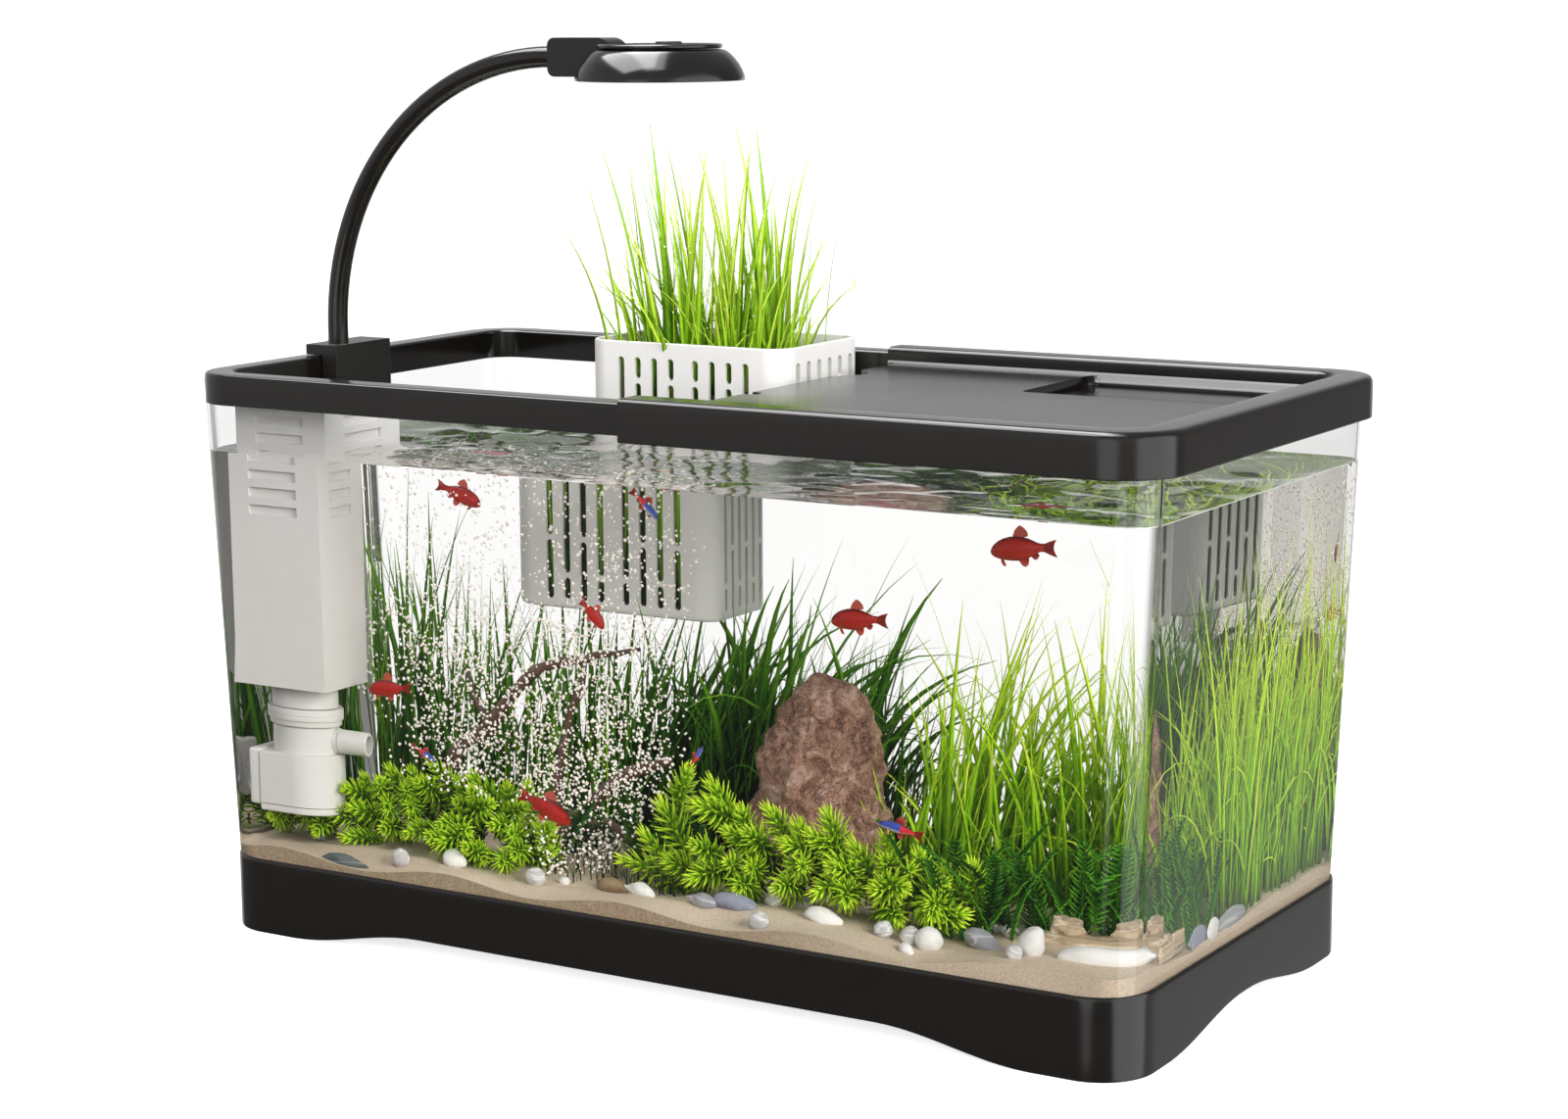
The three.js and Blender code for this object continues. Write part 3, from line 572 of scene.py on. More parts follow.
# ------------------------------------------------------------------ plinth
def plinth():
    def wave(x, y):
        return 7.8 * (smooth_step(-abs(x), -158, -97) + smooth_step(-abs(y), -65, -2))

    profile = [(1.6, 0.0, 1), (0.9, 0.0, 1), (0.25, 0.2, 1), (0.0, 0.9, 1), (0.0, 8.0, 0.85),
               (0.0, 16.0, 0.6), (0.0, 24.0, 0.2), (0.0, 27.8, 0.0), (0.12, 28.6, 0.0), (0.45, 29.1, 0.0),
               (0.8, 29.2, 0.0), (1.2, 29.1, 0.0), (1.5, 28.7, 0.0), (1.6, 28.0, 0.0), (1.6, 20.0, 0.4),
               (1.6, 8.0, 0.85)]
    rings = []
    for inset, z, share in profile:
        loop = rounded_loop(193.2 - inset, 96.8 - inset, 20.5 - inset, corner=12, along=(64, 32))
        rings.append([(x, y, z + share * wave(x, y)) for x, y in loop])
    whole = shape(loft(rings, closed=True), slab(192.2, 95.8, 19.5, 11.6, 14.0))
    for sx in (-1, 1):
        for sy in (-1, 1):
            whole.add(lathe([(12, 2.3), (12, 12.5)], sx * 172, sy * 78, 32))
    obj = make("plinth", whole, BLACK, "tank_unit", ["base_tray"])
    weighted(obj)


# ------------------------------------------------------------------ tank and water
def tank_loop(z, inset, corner=14, along=(2, 2)):
    share = (z - TANK_BOTTOM) / (TANK_TOP - TANK_BOTTOM)
    hx, hy = 190.0 + 8.4 * share, 93.6 + 2.8 * share
    loop = rounded_loop(hx - inset, hy - inset, 12.0 + 0.5 * share - inset, corner=corner, along=along)
    return [(x, y, z) for x, y in loop]


def tank():
    outside = [tank_loop(TANK_BOTTOM, 2.0), tank_loop(TANK_BOTTOM + 0.5, 0.6),
               tank_loop(TANK_BOTTOM + 2, 0.0), tank_loop(60, 0.0), tank_loop(120, 0.0),
               tank_loop(TANK_TOP - 0.5, 0.0), tank_loop(TANK_TOP, 0.5),
               tank_loop(TANK_TOP, TANK_WALL - 0.5), tank_loop(TANK_TOP - 0.5, TANK_WALL)]
    wet = [tank_loop(WATER + 0.2, TANK_WALL), tank_loop(120, TANK_WALL), tank_loop(60, TANK_WALL),
           tank_loop(TANK_FLOOR + 3, TANK_WALL),
           tank_loop(TANK_FLOOR + 0.9, TANK_WALL + 0.9), tank_loop(TANK_FLOOR, TANK_WALL + 3)]
    whole = shape(loft(outside + wet))
    dry, n = len(outside), len(wet[0])
    whole.mats = [0] * (dry * n) + [1] * ((len(wet) - 1) * n) + [0, 1]
    obj = make("tank_glass", whole, [GLASS, WETTED], "tank_unit", ["tank"])
    weighted(obj)


def ripple(x, y):
    """Height of the water surface, in mm: livelier over the pump's jet."""
    lively = 0.6 + 0.9 * math.exp(-((x + 110) ** 2 + (y + 40) ** 2) / 5200.0)
    bent = 9.0 * noise_at(x / 40.0, y / 40.0, 8.0)
    p = Vector(((x + bent) / 34.0, (y - bent) / 22.0, 0.3))
    q = Vector(((x - bent) / 12.0, (y + bent) / 9.0, 4.1))
    r = Vector((x / 5.5, y / 4.5, 6.6))
    return lively * (1.3 * noise.noise(p) + 0.85 * noise.noise(q) + 0.30 * noise.noise(r))


def water():
    inset = TANK_WALL - 0.12
    rings = [tank_loop(TANK_FLOOR - 0.12, inset + 2.8, 14, (60, 30)), tank_loop(60, inset, 14, (60, 30)),
             tank_loop(WATER + 0.5, inset, 14, (60, 30))]
    edge = rings[-1]
    steps = 56
    for k in range(1, steps):
        share = 1 - (k / steps) ** 0.92
        ring = []
        for x, y, z in edge:
            px, py = x * share, y * share
            from_wall = min(1.0, 94.0 * (1 - share) / 4.0)
            ring.append((px, py, WATER + 0.7 * (1 - from_wall) ** 2 + from_wall * ripple(px, py)))
        rings.append(ring)
    whole = shape(loft(rings))
    n = len(edge)
    whole.mats = [1] * (2 * n) + [0] * (len(whole.faces) - 2 * n - 2) + [1, 0]
    make("water_body", whole, [WATER_CLEAR, WETTED], "tank_unit", sharp=60)


# ------------------------------------------------------------------ rim frame
def rim_frame():
    profile = [(200, 99.2, 20.5, 203.6), (200, 99.2, 20.5, 213.5), (199.85, 99.05, 20.35, 214.2),
               (199.4, 98.6, 19.9, 214.75), (198.6, 97.8, 19.1, 215.0), (190.6, 89.9, 12.2, 215.0),
               (189.9, 89.2, 11.5, 214.8), (189.4, 88.7, 11.1, 214.3), (189.3, 88.6, 11.0, 213.6),
               (189.3, 88.6, 11.0, 203.9), (189.5, 88.8, 11.2, 203.5), (190.2, 89.5, 11.9, 203.4),
               (194.8, 93.2, 14.2, 203.4), (194.8, 93.2, 14.2, 213.3), (198.8, 97.5, 19.0, 213.3),
               (198.8, 98.0, 19.3, 203.4),
               (199.6, 98.8, 20.1, 203.4)]
    obj = make("rim_frame_moulding", shape(frame_sweep(profile, corner=14)), BLACK, "tank_unit",
               ["rim_frame"])
    weighted(obj)


# ------------------------------------------------------------------ half lid
def lid():
    border = [(203.0, 102.0, 22.5, 201.8), (203.0, 102.0, 22.5, 213.8), (202.8, 101.8, 22.3, 215.1),
              (202.2, 101.2, 21.7, 216.1), (201.2, 100.2, 20.7, 216.65), (199.6, 98.6, 19.1, 216.8),
              (190.4, 90.2, 12.2, 216.8), (189.2, 89.2, 11.0, 216.5), (188.4, 88.4, 10.2, 215.7),
              (188.1, 88.15, 9.9, 214.6), (188.0, 88.1, 9.8, 211.6), (187.2, 87.3, 9.0, 210.7),
              (186.5, 86.6, 8.3, 208.8), (189.8, 89.8, 11.4, 208.8), (189.8, 89.8, 11.4, 215.3),
              (200.4, 99.6, 20.5, 215.3), (200.4, 99.6, 20.5, 201.4),
              (202.6, 101.6, 22.1, 201.4)]
    obj = make("lid_border", shape(frame_sweep(border, corner=14)), LID_BLACK)
    plate_outline = [(3.2, -87.9), (187.5, -87.9), (187.5, 87.9), (3.2, 87.9)]
    carve(obj, shape(prism(plate_outline, "z", 208.8, 210.6)), "UNION")
    carve(obj, shape(box(86.8, 187.9, 25.8, 87.95, 204.8, 209.5)), "UNION")
    carve(obj, shape(box(-250, -0.5, -120, 120, 195, 225)))
    notch = [(-4, -26.2), (5.5, -26.2), (8.4, -24.6), (8.4, -20.8), (5.5, -19.2), (-4, -19.2)]
    bite = [(-4, 24.3), (11.4, 48.0), (11.9, 50.6), (9.6, 55.7), (-4, 66.6)]
    carve(obj, shape(prism(notch, "z", 200, 212), prism(bite, "z", 200, 212)))
    bevel(obj, 0.55, 2)
    carve(obj, shape(slab(49.4, 29.6, 4.0, 206.6, 212.0, cx=137.9, cy=57.1, corner=6, along=(2, 2))))
    fit(obj, "lid", "lid_cover")


# ------------------------------------------------------------------ plant basket
def slot_outline(x, z0, z1, half):
    low = circle(x, z0 + half, half, 7, 180, 180)
    high = circle(x, z1 - half, half, 7, 0, 180)
    return low + high


def slot_rows(bars):
    """The bottom and top of each slot in a column that the bars divide."""
    levels = [SLOT_LOW] + [z for bar in bars for z in (bar - BAR, bar + BAR)] + [SLOT_HIGH]
    return zip(levels[::2], levels[1::2])


def basket_slots():
    whole = Shape()
    one_bar, two_bars = (151.2,), (137.0, 205.5)
    for i, offset in enumerate((-29.0, -21.2, -13.5, -5.7, 5.7, 13.5, 21.2, 29.0)):
        for z0, z1 in slot_rows(one_bar if i in (0, 2, 5, 7) else two_bars):
            outline = slot_outline(BASKET_X + offset * 0.985, z0, z1, 1.5)
            whole.add(prism(outline, "y", BASKET_Y - 40, BASKET_Y + 28.0))
    for i in range(6):
        for z0, z1 in slot_rows(one_bar if i % 2 else two_bars):
            outline = slot_outline(BASKET_Y + (i - 2.5) * 7.9, z0, z1, 1.5)
            whole.add(prism(outline, "x", BASKET_X - 60, BASKET_X + 60))
    return whole


def basket():
    def ring(inset, z):
        loop = rounded_loop(BASKET_HX - inset, BASKET_HY - inset, 10.0 - inset, BASKET_X, BASKET_Y, 8, (2, 2))
        return [(x, y, z) for x, y in loop]

    rings = [ring(2.2, 124.0), ring(0.7, 124.5), ring(0.0, 126.2), ring(0.0, 220.2), ring(0.25, 220.7),
             ring(0.7, 220.9),
             ring(1.2, 220.9), ring(1.65, 220.7), ring(1.8, 220.2), ring(1.8, 128.0), ring(2.4, 126.4),
             ring(4.0, 126.0)]
    obj = make("basket_shell", shape(loft(rings)), WHITE)
    carve(obj, basket_slots())
    hooks = Shape()
    for dx in (-24, 24):
        x0, x1 = BASKET_X + dx - 5, BASKET_X + dx + 5
        outline = [(87.6, 215.4), (99.6, 215.4), (99.6, 206.0), (101.4, 206.0), (101.5, 216.6),
                   (100.7, 217.3),
                   (87.6, 217.3)]
        hooks.add(prism(outline, "x", x0, x1))
    carve(obj, hooks, "UNION")
    bevel(obj, 0.25, 2)
    fit(obj, "basket_unit", "plant_basket")


# ------------------------------------------------------------------ lamp
def lamp_bracket():
    rim_gap = [(-197.0, 215.3), (-189.0, 215.3), (-189.0, 196.0), (-181.6, 196.0), (-181.6, 219.4),
               (-197.0, 219.4)]
    obj = make("lamp_clip", shape(prism(rim_gap, "y", -30.0, 4.0)), SATIN)
    carve(obj, shape(lathe([(3.45, 202.0), (3.45, 221.0)], ARM_X, ARM_Y, 24)))
    bevel(obj, 0.35, 2)
    fit(obj, "lamp_mount", "lamp_bracket")


def lamp_arm():
    cx = ARM_X + ARCH_R
    points = [(ARM_X, ARM_Y, 219.75), (ARM_X, ARM_Y, 223.0)]
    for k in range(33):
        a = math.pi / 2 * k / 32
        points.append((cx - ARCH_R * math.cos(a), ARM_Y, ARM_START + ARCH_R * math.sin(a)))
    points.append((-73.0, ARM_Y, ARM_START + ARCH_R))
    whole = shape(tube(points, ARM_R, 28), lathe([(2.4, 203.0), (2.4, 221.0)], ARM_X, ARM_Y, 20))
    obj = make("arm_pipe", whole, BLACK, "lamp_arm", ["arm_tube"])
    weighted(obj)


def tilt_bore():
    """The hole for the head's pin, through the joint block and the shade."""
    return tube([(TILT_X, -40, TILT_Z), (TILT_X, -10, TILT_Z)], 1.75, 16)


def joint_block():
    outline = circle(-56.15, 331.55, 7.15, 15, -90,
                     180) + circle(-75.6, 335.7, 3.0, 6, 90, 90) + circle(-75.6, 327.4, 3.0, 6, 180, 90)
    obj = make("joint_cheeks", shape(prism(outline, "y", -29.5, -18.5)), BLACK)
    socket = tube([(-80, ARM_Y, 331.6), (-72.4, ARM_Y, 331.6)], ARM_R + 0.25, 28)
    carve(obj, shape(socket, tilt_bore()))
    bevel(obj, 0.5, 3)
    fit(obj, "lamp_arm", "lamp_joint_block")


def head_slot():
    """Room for the joint block in the shade and the cap."""
    return box(-90, -46.0, -30.1, -17.9, 318, 340)


def button_well(z0):
    return lathe([(5.3, z0), (5.3, 340)], BUTTON_X, HEAD_Y, 32)


def lamp_shade():
    shell = [(0, 332.8), (20.0, 332.8), (23.4, 332.3), (25.4, 330.8), (27.2, 328.6), (28.4, 326.6),
             (29.1, 324.8), (29.5, 323.4), (30.0, 323.15), (30.6, 323.15), (31.1, 323.35), (31.2, 323.9),
             (30.9, 325.2), (30.1, 327.2), (28.9, 329.3), (27.3, 331.3), (25.6, 333.0), (24.0, 334.1),
             (22.6, 334.45),
             (0, 334.45)]
    obj = make("shade_dome", shape(lathe(shell, HEAD_X, HEAD_Y, 96)), GLOSS)
    ears = shape(*[box(-59.0, -47.5, y0, y0 + 2.2, 327.5, 333.0) for y0 in (-32.1, -17.9)])
    carve(obj, ears, "UNION")
    carve(obj, shape(head_slot(), button_well(328), tilt_bore()))
    finish_shading(obj, 35)
    fit(obj, "lamp_head", "lamp_shade")


def lamp_cap():
    profile = [(22.0, 334.7), (22.8, 334.9), (23.0, 335.4), (22.95, 336.0), (22.5, 336.4), (21.8, 336.5),
               (20.9, 336.45), (20.2, 336.1)]
    obj = make("shade_cap", shape(lathe(profile, HEAD_X, HEAD_Y, 96)), BLACK)
    carve(obj, shape(head_slot(), button_well(330)))
    bevel(obj, 0.25, 2, 50)
    fit(obj, "lamp_head", "lamp_cap")


def lamp_button():
    profile = [(4.6, 335.1), (5.0, 335.3), (5.0, 336.6), (4.85, 337.1), (4.4, 337.35), (3.0, 337.3),
               (1.5, 337.15),
               (0.3, 337.1)]
    made = shape(lathe(profile, BUTTON_X, HEAD_Y, 40))
    make("push_button", made, SATIN, "lamp_switch", ["lamp_button"])


# ------------------------------------------------------------------ filter
def turned(profile, n=64):
    """A profile of (radius, z) turned about the pump's upright axis."""
    return lathe(profile, PUMP_X, PUMP_Y, n)


def bore(z0, z1):
    """The passage up through the pump, its neck and the floor of the case."""
    return turned([(9, z0), (9, z1)], 40)


def jet(x0, x1, radius, sides):
    """A round rod along the axis of the outlet."""
    return tube([(x0, PUMP_Y, SPOUT_Z), (x1, PUMP_Y, SPOUT_Z)], radius, sides)


def filter_case():
    x0, x1, y0, y1 = FILTER_WALLS
    obj = make("filter_case", shape(box(x0, x1, y0, y1, 95.0, 203.5)), WHITE)
    carve(obj, shape(box(x0 + 1.8, x1 - 1.8, y0 + 1.8, y1 - 1.8, 97.0, 209.0), bore(90, 100)))
    grille = Shape()
    for row in range(6):
        z = 163.1 + 6.7 * row
        grille.add(box(-178.8, -156.0, y0 - 1, y0 + 1.55, z - 1.75, z + 1.75))
        grille.add(box(x1 - 1.55, x1 + 1, -70.5, -48.5, z - 1.75, z + 1.75))
    carve(obj, grille)
    bevel(obj, 0.28, 2)
    fit(obj, "filter_unit", "filter_box")


def filter_lid():
    x0, x1, y0, y1 = FILTER_WALLS
    obj = make("filter_lid", shape(box(x0, x1, y0, y1, 203.8, 205.8)), WHITE)
    carve(obj, shape(box(x0 + 2.1, x1 - 2.1, y0 + 2.1, y1 - 2.1, 201.0, 204.5)), "UNION")
    bevel(obj, 0.5, 2)
    place(obj, "filter_top", ["filter_cover"])


def filter_neck():
    neck = turned([(13.6, 86.4), (14.7, 86.5), (14.8, 87.0), (14.8, 94.2), (14.4, 94.7), (13.0, 94.7)])
    ring = turned([(15.0, 79.4), (15.9, 79.5), (16.1, 80.0), (16.1, 81.3), (16.3, 81.6), (16.8, 81.8),
                   (16.95, 82.3), (16.95, 83.3), (16.7, 83.6), (16.95, 83.9), (16.95, 85.6), (16.6, 86.1),
                   (15.0, 86.2)])
    for name, made, node in (("neck_pipe", neck, "filter_neck"), ("collar_nut", ring, "collar_ring")):
        part = make(name, shape(made), WHITE)
        carve(part, shape(bore(70, 100)))
        finish_shading(part, 35)
        fit(part, "filter_unit", node)


def pump_plan(inset, z):
    """The pump from above: a half circle towards the outlet, square at the back."""
    r = 17.0 - inset
    back = -181.0 + inset
    round_side = circle(PUMP_X, PUMP_Y, r, 33, -90, 180)
    return [(x, y, z) for x, y in round_side + [(back, PUMP_Y + r), (back, PUMP_Y - r)]]


def pump_loft(*levels):
    """The pump's outline drawn in by each inset at each height."""
    return loft([pump_plan(inset, z) for inset, z in levels])


def pump():
    body = make("pump_case", shape(pump_loft((0.0, 48.0), (0.0, 67.9), (0.25, 68.4), (0.7, 68.6))), WHITE)
    carve(body, shape(turned([(14.8, 60), (14.8, 78.6), (14.3, 79.1)])), "UNION")
    carve(body, shape(jet(PUMP_X + 8, PUMP_X + 16.5, 5.0, 32)), "UNION")
    carve(body, shape(pump_loft((1.8, 46), (1.8, 66.7)), turned([(13, 60), (13, 77.3)], 48), bore(70, 85),
                      jet(PUMP_X + 4, -140, 3.5, 24)))
    bevel(body, 0.3, 2, 50)
    fit(body, "filter_unit", "pump_housing")
    sole = shape(pump_loft((0.8, 45.0), (0.2, 45.3), (0.0, 45.9), (0.0, 47.7)),
                 turned([(12, 47), (12, 50)], 40))
    weighted(make("pump_sole", sole, WHITE, "filter_unit", ["pump_foot"]))


def spout():
    stations = [(PUMP_X + 16.8, 4.7), (-135.8, 4.7), (-135.2, 4.55), (-135.0, 4.2)]
    pipe = tube([(x, PUMP_Y, SPOUT_Z) for x, r in stations], [r for x, r in stations], 40)
    obj = make("spout", shape(pipe), WHITE)
    carve(obj, shape(jet(-160, -130, 3.5, 32)))
    finish_shading(obj, 35)
    fit(obj, "filter_unit", "outlet_nozzle")


def wall_holder():
    obj = make("wall_holder", shape(box(-186.6, -181.3, -76.0, -43.0, 47.0, 69.0)), WHITE)
    bevel(obj, 1.0, 3)
    place(obj, "tank_unit", ["holder_plate"])


plinth()
tank()
water()
rim_frame()
lid()
basket()
lamp_bracket()
lamp_arm()
joint_block()
lamp_shade()
lamp_cap()
lamp_button()
filter_case()
filter_lid()
filter_neck()
pump()
spout()
wall_holder()

# ------------------------------------------------------------------ finishes of the contents
def leafy(name, dark, middle, bright, rough=0.42, fleck=0.25, grain=420):
    """Leaf colour from its shade value, dark at 0 and bright at 1, with fine streaks. On the plants this
    value is painted shade and light: dark low down, bright at the lit tips.
    """
    paint = Paint(name, middle, rough)
    tone = paint.math("ADD", paint.shade(), paint.math("MULTIPLY", paint.noise(grain, 3), fleck))
    paint.drive("Base Color",
                paint.ramp(paint.math("SUBTRACT", tone, fleck * 0.5),
                           [(0.0, dark), (0.5, middle), (1.0, bright)]))
    paint.drive("Roughness", paint.span(paint.noise(160, 2), rough - 0.08, rough + 0.1))
    paint.bump(paint.noise(900, 2, stretch=(1, 1, 0.3)), 0.3, 0.05)
    paint.set("Specular IOR Level", 0.18)
    return paint.mat


def mineral(name, stops, scale, rough, speckle=None, veins=None, depth=0.12, stretch=(1, 1, 1)):
    """Stone: a clouded colour ramp, with dark or light specks and thin veins if asked."""
    paint = Paint(name, stops[0][1], rough)
    color = paint.ramp(paint.noise(scale, 8, 0.68, 0.5, stretch), stops)
    if speckle:
        share, size, tone = speckle
        spots = paint.mask(paint.noise(size, 4, 0.8), share, share + 0.06)
        color = paint.mix(spots, color, tone)
    if veins:
        size, width, tone = veins
        lines = paint.ramp(paint.noise(size, 2, 0.4, 1.2, (0.35, 0.35, 1.6)),
                           [(0.5 - width, (0, 0, 0)), (0.5, (1, 1, 1)), (0.5 + width, (0, 0, 0))])
        color = paint.mix(paint.math("MULTIPLY", lines, 0.75), color, tone)
    paint.drive("Base Color", color)
    paint.drive("Roughness", paint.span(paint.noise(90, 4), rough - 0.1, rough + 0.08))
    paint.bump(paint.noise(scale * 4, 8, 0.7), 0.5, depth)
    paint.set("Specular IOR Level", 0.2)
    return paint.mat


def sand_finish():
    paint = Paint("sand", (0.5, 0.4, 0.29), 0.9)
    grains = paint.ramp(paint.noise(1500, 3, 0.7),
                        [(0.28, (0.36, 0.265, 0.185)), (0.45, (0.62, 0.505, 0.385)),
                         (0.62, (0.72, 0.60, 0.47)), (0.8, (0.84, 0.75, 0.62))])
    broad = paint.ramp(paint.noise(18, 4, 0.6), [(0.35, (0.82, 0.80, 0.78)), (0.65, (1.0, 1.0, 1.0))])
    color = paint.mix(1.0, grains, broad, "MULTIPLY")
    coarse = paint.ramp(paint.noise(1100, 5, 0.85),
                        [(0.30, (0.10, 0.065, 0.04)), (0.42, (0.27, 0.19, 0.12)), (0.55, (0.40, 0.30, 0.20)),
                         (0.72, (0.62, 0.50, 0.37))])
    color = paint.mix(paint.shade(), color, coarse)
    pits = paint.ramp(paint.noise(2600, 2, 0.8), [(0.66, (1, 1, 1)), (0.76, (0.35, 0.28, 0.22))])
    paint.drive("Base Color", paint.mix(1.0, color, pits, "MULTIPLY"))
    paint.drive("Roughness", paint.span(paint.noise(500, 2), 0.82, 0.97))
    paint.bump(paint.noise(1800, 4, 0.7), 0.7, 0.25)
    return paint.mat


def fish_finish(name, back, side, belly, scale_line):
    """Skin that runs from back to belly with the shade, crossed by rows of small scales."""
    paint = Paint(name, side, 0.3)
    skin = paint.ramp(paint.shade(), [(0.0, belly), (0.45, side), (0.8, side), (1.0, back)])
    scales = paint.ramp(paint.cells(900, "Distance", "DISTANCE_TO_EDGE", (1.0, 1.0, 1.6)),
                        [(0.02, scale_line), (0.12, (1, 1, 1))])
    paint.drive("Base Color", paint.mix(0.7, skin, paint.mix(1.0, skin, scales, "MULTIPLY")))
    paint.drive("Roughness", paint.span(paint.noise(300, 2), 0.22, 0.4))
    paint.bump(paint.cells(900, "Distance", "F1", (1.0, 1.0, 1.6)), 0.35, 0.15)
    return paint.mat


SAND = sand_finish()
WHITE_STONE = mineral("white_stone",
                      [(0.3, (0.62, 0.61, 0.59)), (0.6, (0.78, 0.77, 0.74)), (0.8, (0.84, 0.83, 0.80))],
                      scale=60, rough=0.55, depth=0.06)
STRIPED_STONE = mineral("striped_stone",
                        [(0.3, (0.40, 0.39, 0.39)), (0.6, (0.53, 0.52, 0.51)), (0.8, (0.62, 0.61, 0.60))],
                        scale=90, rough=0.6, veins=(150, 0.06, (0.80, 0.79, 0.77)))
GREY_STONE = mineral("grey_stone",
                     [(0.3, (0.23, 0.23, 0.25)), (0.6, (0.33, 0.33, 0.35)), (0.8, (0.42, 0.42, 0.43))],
                     scale=70, rough=0.6, veins=(60, 0.03, (0.55, 0.55, 0.56)))
BLUE_STONE = mineral("blue_stone", [(0.3, (0.20, 0.21, 0.26)), (0.7, (0.32, 0.34, 0.42))], scale=80,
                     rough=0.6, speckle=(0.6, 1300, (0.50, 0.51, 0.56)))
SLATE_STONE = mineral("slate_stone", [(0.3, (0.055, 0.07, 0.07)), (0.7, (0.13, 0.15, 0.15))], scale=110,
                      rough=0.55, veins=(90, 0.03, (0.3, 0.32, 0.32)))
BROWN_STONE = mineral("brown_stone",
                      [(0.3, (0.17, 0.11, 0.06)), (0.6, (0.30, 0.21, 0.12)), (0.8, (0.42, 0.32, 0.2))],
                      scale=120, rough=0.65, speckle=(0.62, 500, (0.08, 0.05, 0.03)))
TAN_ROCK = mineral("layered_rock",
                   [(0.3, (0.27, 0.19, 0.12)), (0.5, (0.45, 0.35, 0.23)), (0.75, (0.60, 0.50, 0.36))],
                   scale=60, rough=0.75, veins=(110, 0.05, (0.74, 0.66, 0.52)), depth=0.3,
                   stretch=(0.4, 0.4, 2.4))


def rock_finish():
    paint = Paint("mountain_rock", (0.25, 0.15, 0.11), 0.62)
    base = paint.ramp(paint.noise(130, 10, 0.75, 0.8),
                      [(0.34, (0.075, 0.036, 0.025)), (0.44, (0.23, 0.108, 0.072)),
                       (0.52, (0.40, 0.225, 0.155)),
                                                        (0.60, (0.56, 0.38, 0.30)),
                       (0.70, (0.74, 0.62, 0.54))])
    specks = paint.mask(paint.noise(1500, 4, 0.85), 0.54, 0.60)
    color = paint.mix(paint.math("MULTIPLY", specks, 0.6), base, (0.60, 0.42, 0.34))
    dark = paint.ramp(paint.noise(620, 6, 0.85, 0.4), [(0.40, (1, 1, 1)), (0.47, (0, 0, 0))])
    color = paint.mix(paint.math("MULTIPLY", dark, 0.8), color, (0.055, 0.03, 0.026))
    quartz = paint.mask(paint.noise(85, 10, 0.82, 1.2), 0.60, 0.65)
    color = paint.mix(paint.math("MULTIPLY", quartz, 0.85), color, (0.78, 0.71, 0.64))
    paint.drive("Base Color", color)
    paint.drive("Roughness", paint.span(paint.noise(240, 4), 0.45, 0.8))
    paint.bump(paint.noise(420, 10, 0.78), 1.0, 1.3)
    paint.set("Specular IOR Level", 0.25)
    return paint.mat


def wood_finish():
    paint = Paint("driftwood_bark", (0.05, 0.035, 0.028), 0.72)
    paint.drive("Base Color",
                paint.ramp(paint.noise(240, 6, 0.7, 0.8, (0.5, 1, 1)),
                           [(0.3, (0.035, 0.018, 0.013)), (0.5, (0.10, 0.050, 0.034)),
                            (0.72, (0.22, 0.13, 0.092))]))
    paint.bump(paint.noise(420, 7, 0.7), 0.8, 0.5)
    return paint.mat


ROCK, WOOD = rock_finish(), wood_finish()
HORNWORT = leafy("hornwort_leaf", (0.018, 0.065, 0.002), (0.30, 0.58, 0.008), (0.74, 0.96, 0.060))
FERN = leafy("fern_leaf", (0.004, 0.028, 0.002), (0.035, 0.17, 0.008), (0.16, 0.46, 0.028))
DARK_GRASS = leafy("dark_grass_leaf", (0.006, 0.030, 0.002), (0.045, 0.17, 0.006), (0.20, 0.48, 0.016))
BRIGHT_GRASS = leafy("bright_grass_leaf", (0.022, 0.11, 0.004), (0.34, 0.68, 0.014), (0.80, 0.98, 0.07))
WHEAT = leafy("wheatgrass_leaf", (0.020, 0.11, 0.006), (0.30, 0.56, 0.018), (0.70, 0.86, 0.10))
MOSS = leafy("basket_fill", (0.008, 0.022, 0.006), (0.035, 0.07, 0.012), (0.10, 0.17, 0.03), rough=0.8,
             fleck=0.7, grain=260)
RED_SKIN = fish_finish("red_fish_skin", (0.045, 0.004, 0.003), (0.40, 0.010, 0.005), (0.46, 0.03, 0.012),
                       (0.40, 0.35, 0.35))
NEON_SKIN = fish_finish("neon_fish_skin", (0.06, 0.07, 0.13), (0.035, 0.07, 0.42), (0.70, 0.69, 0.72),
                        (0.8, 0.8, 0.8))
NEON_RED = fish_finish("neon_fish_red", (0.10, 0.01, 0.02), (0.70, 0.02, 0.03), (0.75, 0.25, 0.25),
                       (0.7, 0.6, 0.6))
RED_FIN = leafy("red_fish_fin", (0.09, 0.008, 0.006), (0.30, 0.025, 0.016), (0.46, 0.09, 0.06), rough=0.35,
                fleck=0.5, grain=700)
EYE = plastic("fish_eye", (0.006, 0.006, 0.007), rough=0.12, grain=900).mat


def bubble_finish():
    paint = Paint("air_bubble", (0.90, 0.86, 0.81), 0.25)
    tone = paint.ramp(paint.noise(90, 2), [(0.3, (0.84, 0.76, 0.69)), (0.7, (0.90, 0.84, 0.78))])
    paint.drive("Base Color", tone)
    # Painted light: the bubbles and droplets glow a little through emission, standing in for the light they
    # catch.
    paint.drive("Emission Color", tone)
    paint.set("Emission Strength", 0.16)
    paint.bump(paint.noise(900, 2), 0.15, 0.02)
    return paint.mat


BUBBLE = bubble_finish()


# ------------------------------------------------------------------ sand and stones
def edge_height(x):
    """Height of the sand along the front glass: low ripples that give way to a bank at the right."""
    bank = smooth_step(x, 110, 175)
    return 31.4 + 2.0 * (1 - 0.8 * bank) * math.sin(x / 12.4 + 2.38) + 3.3 * bank


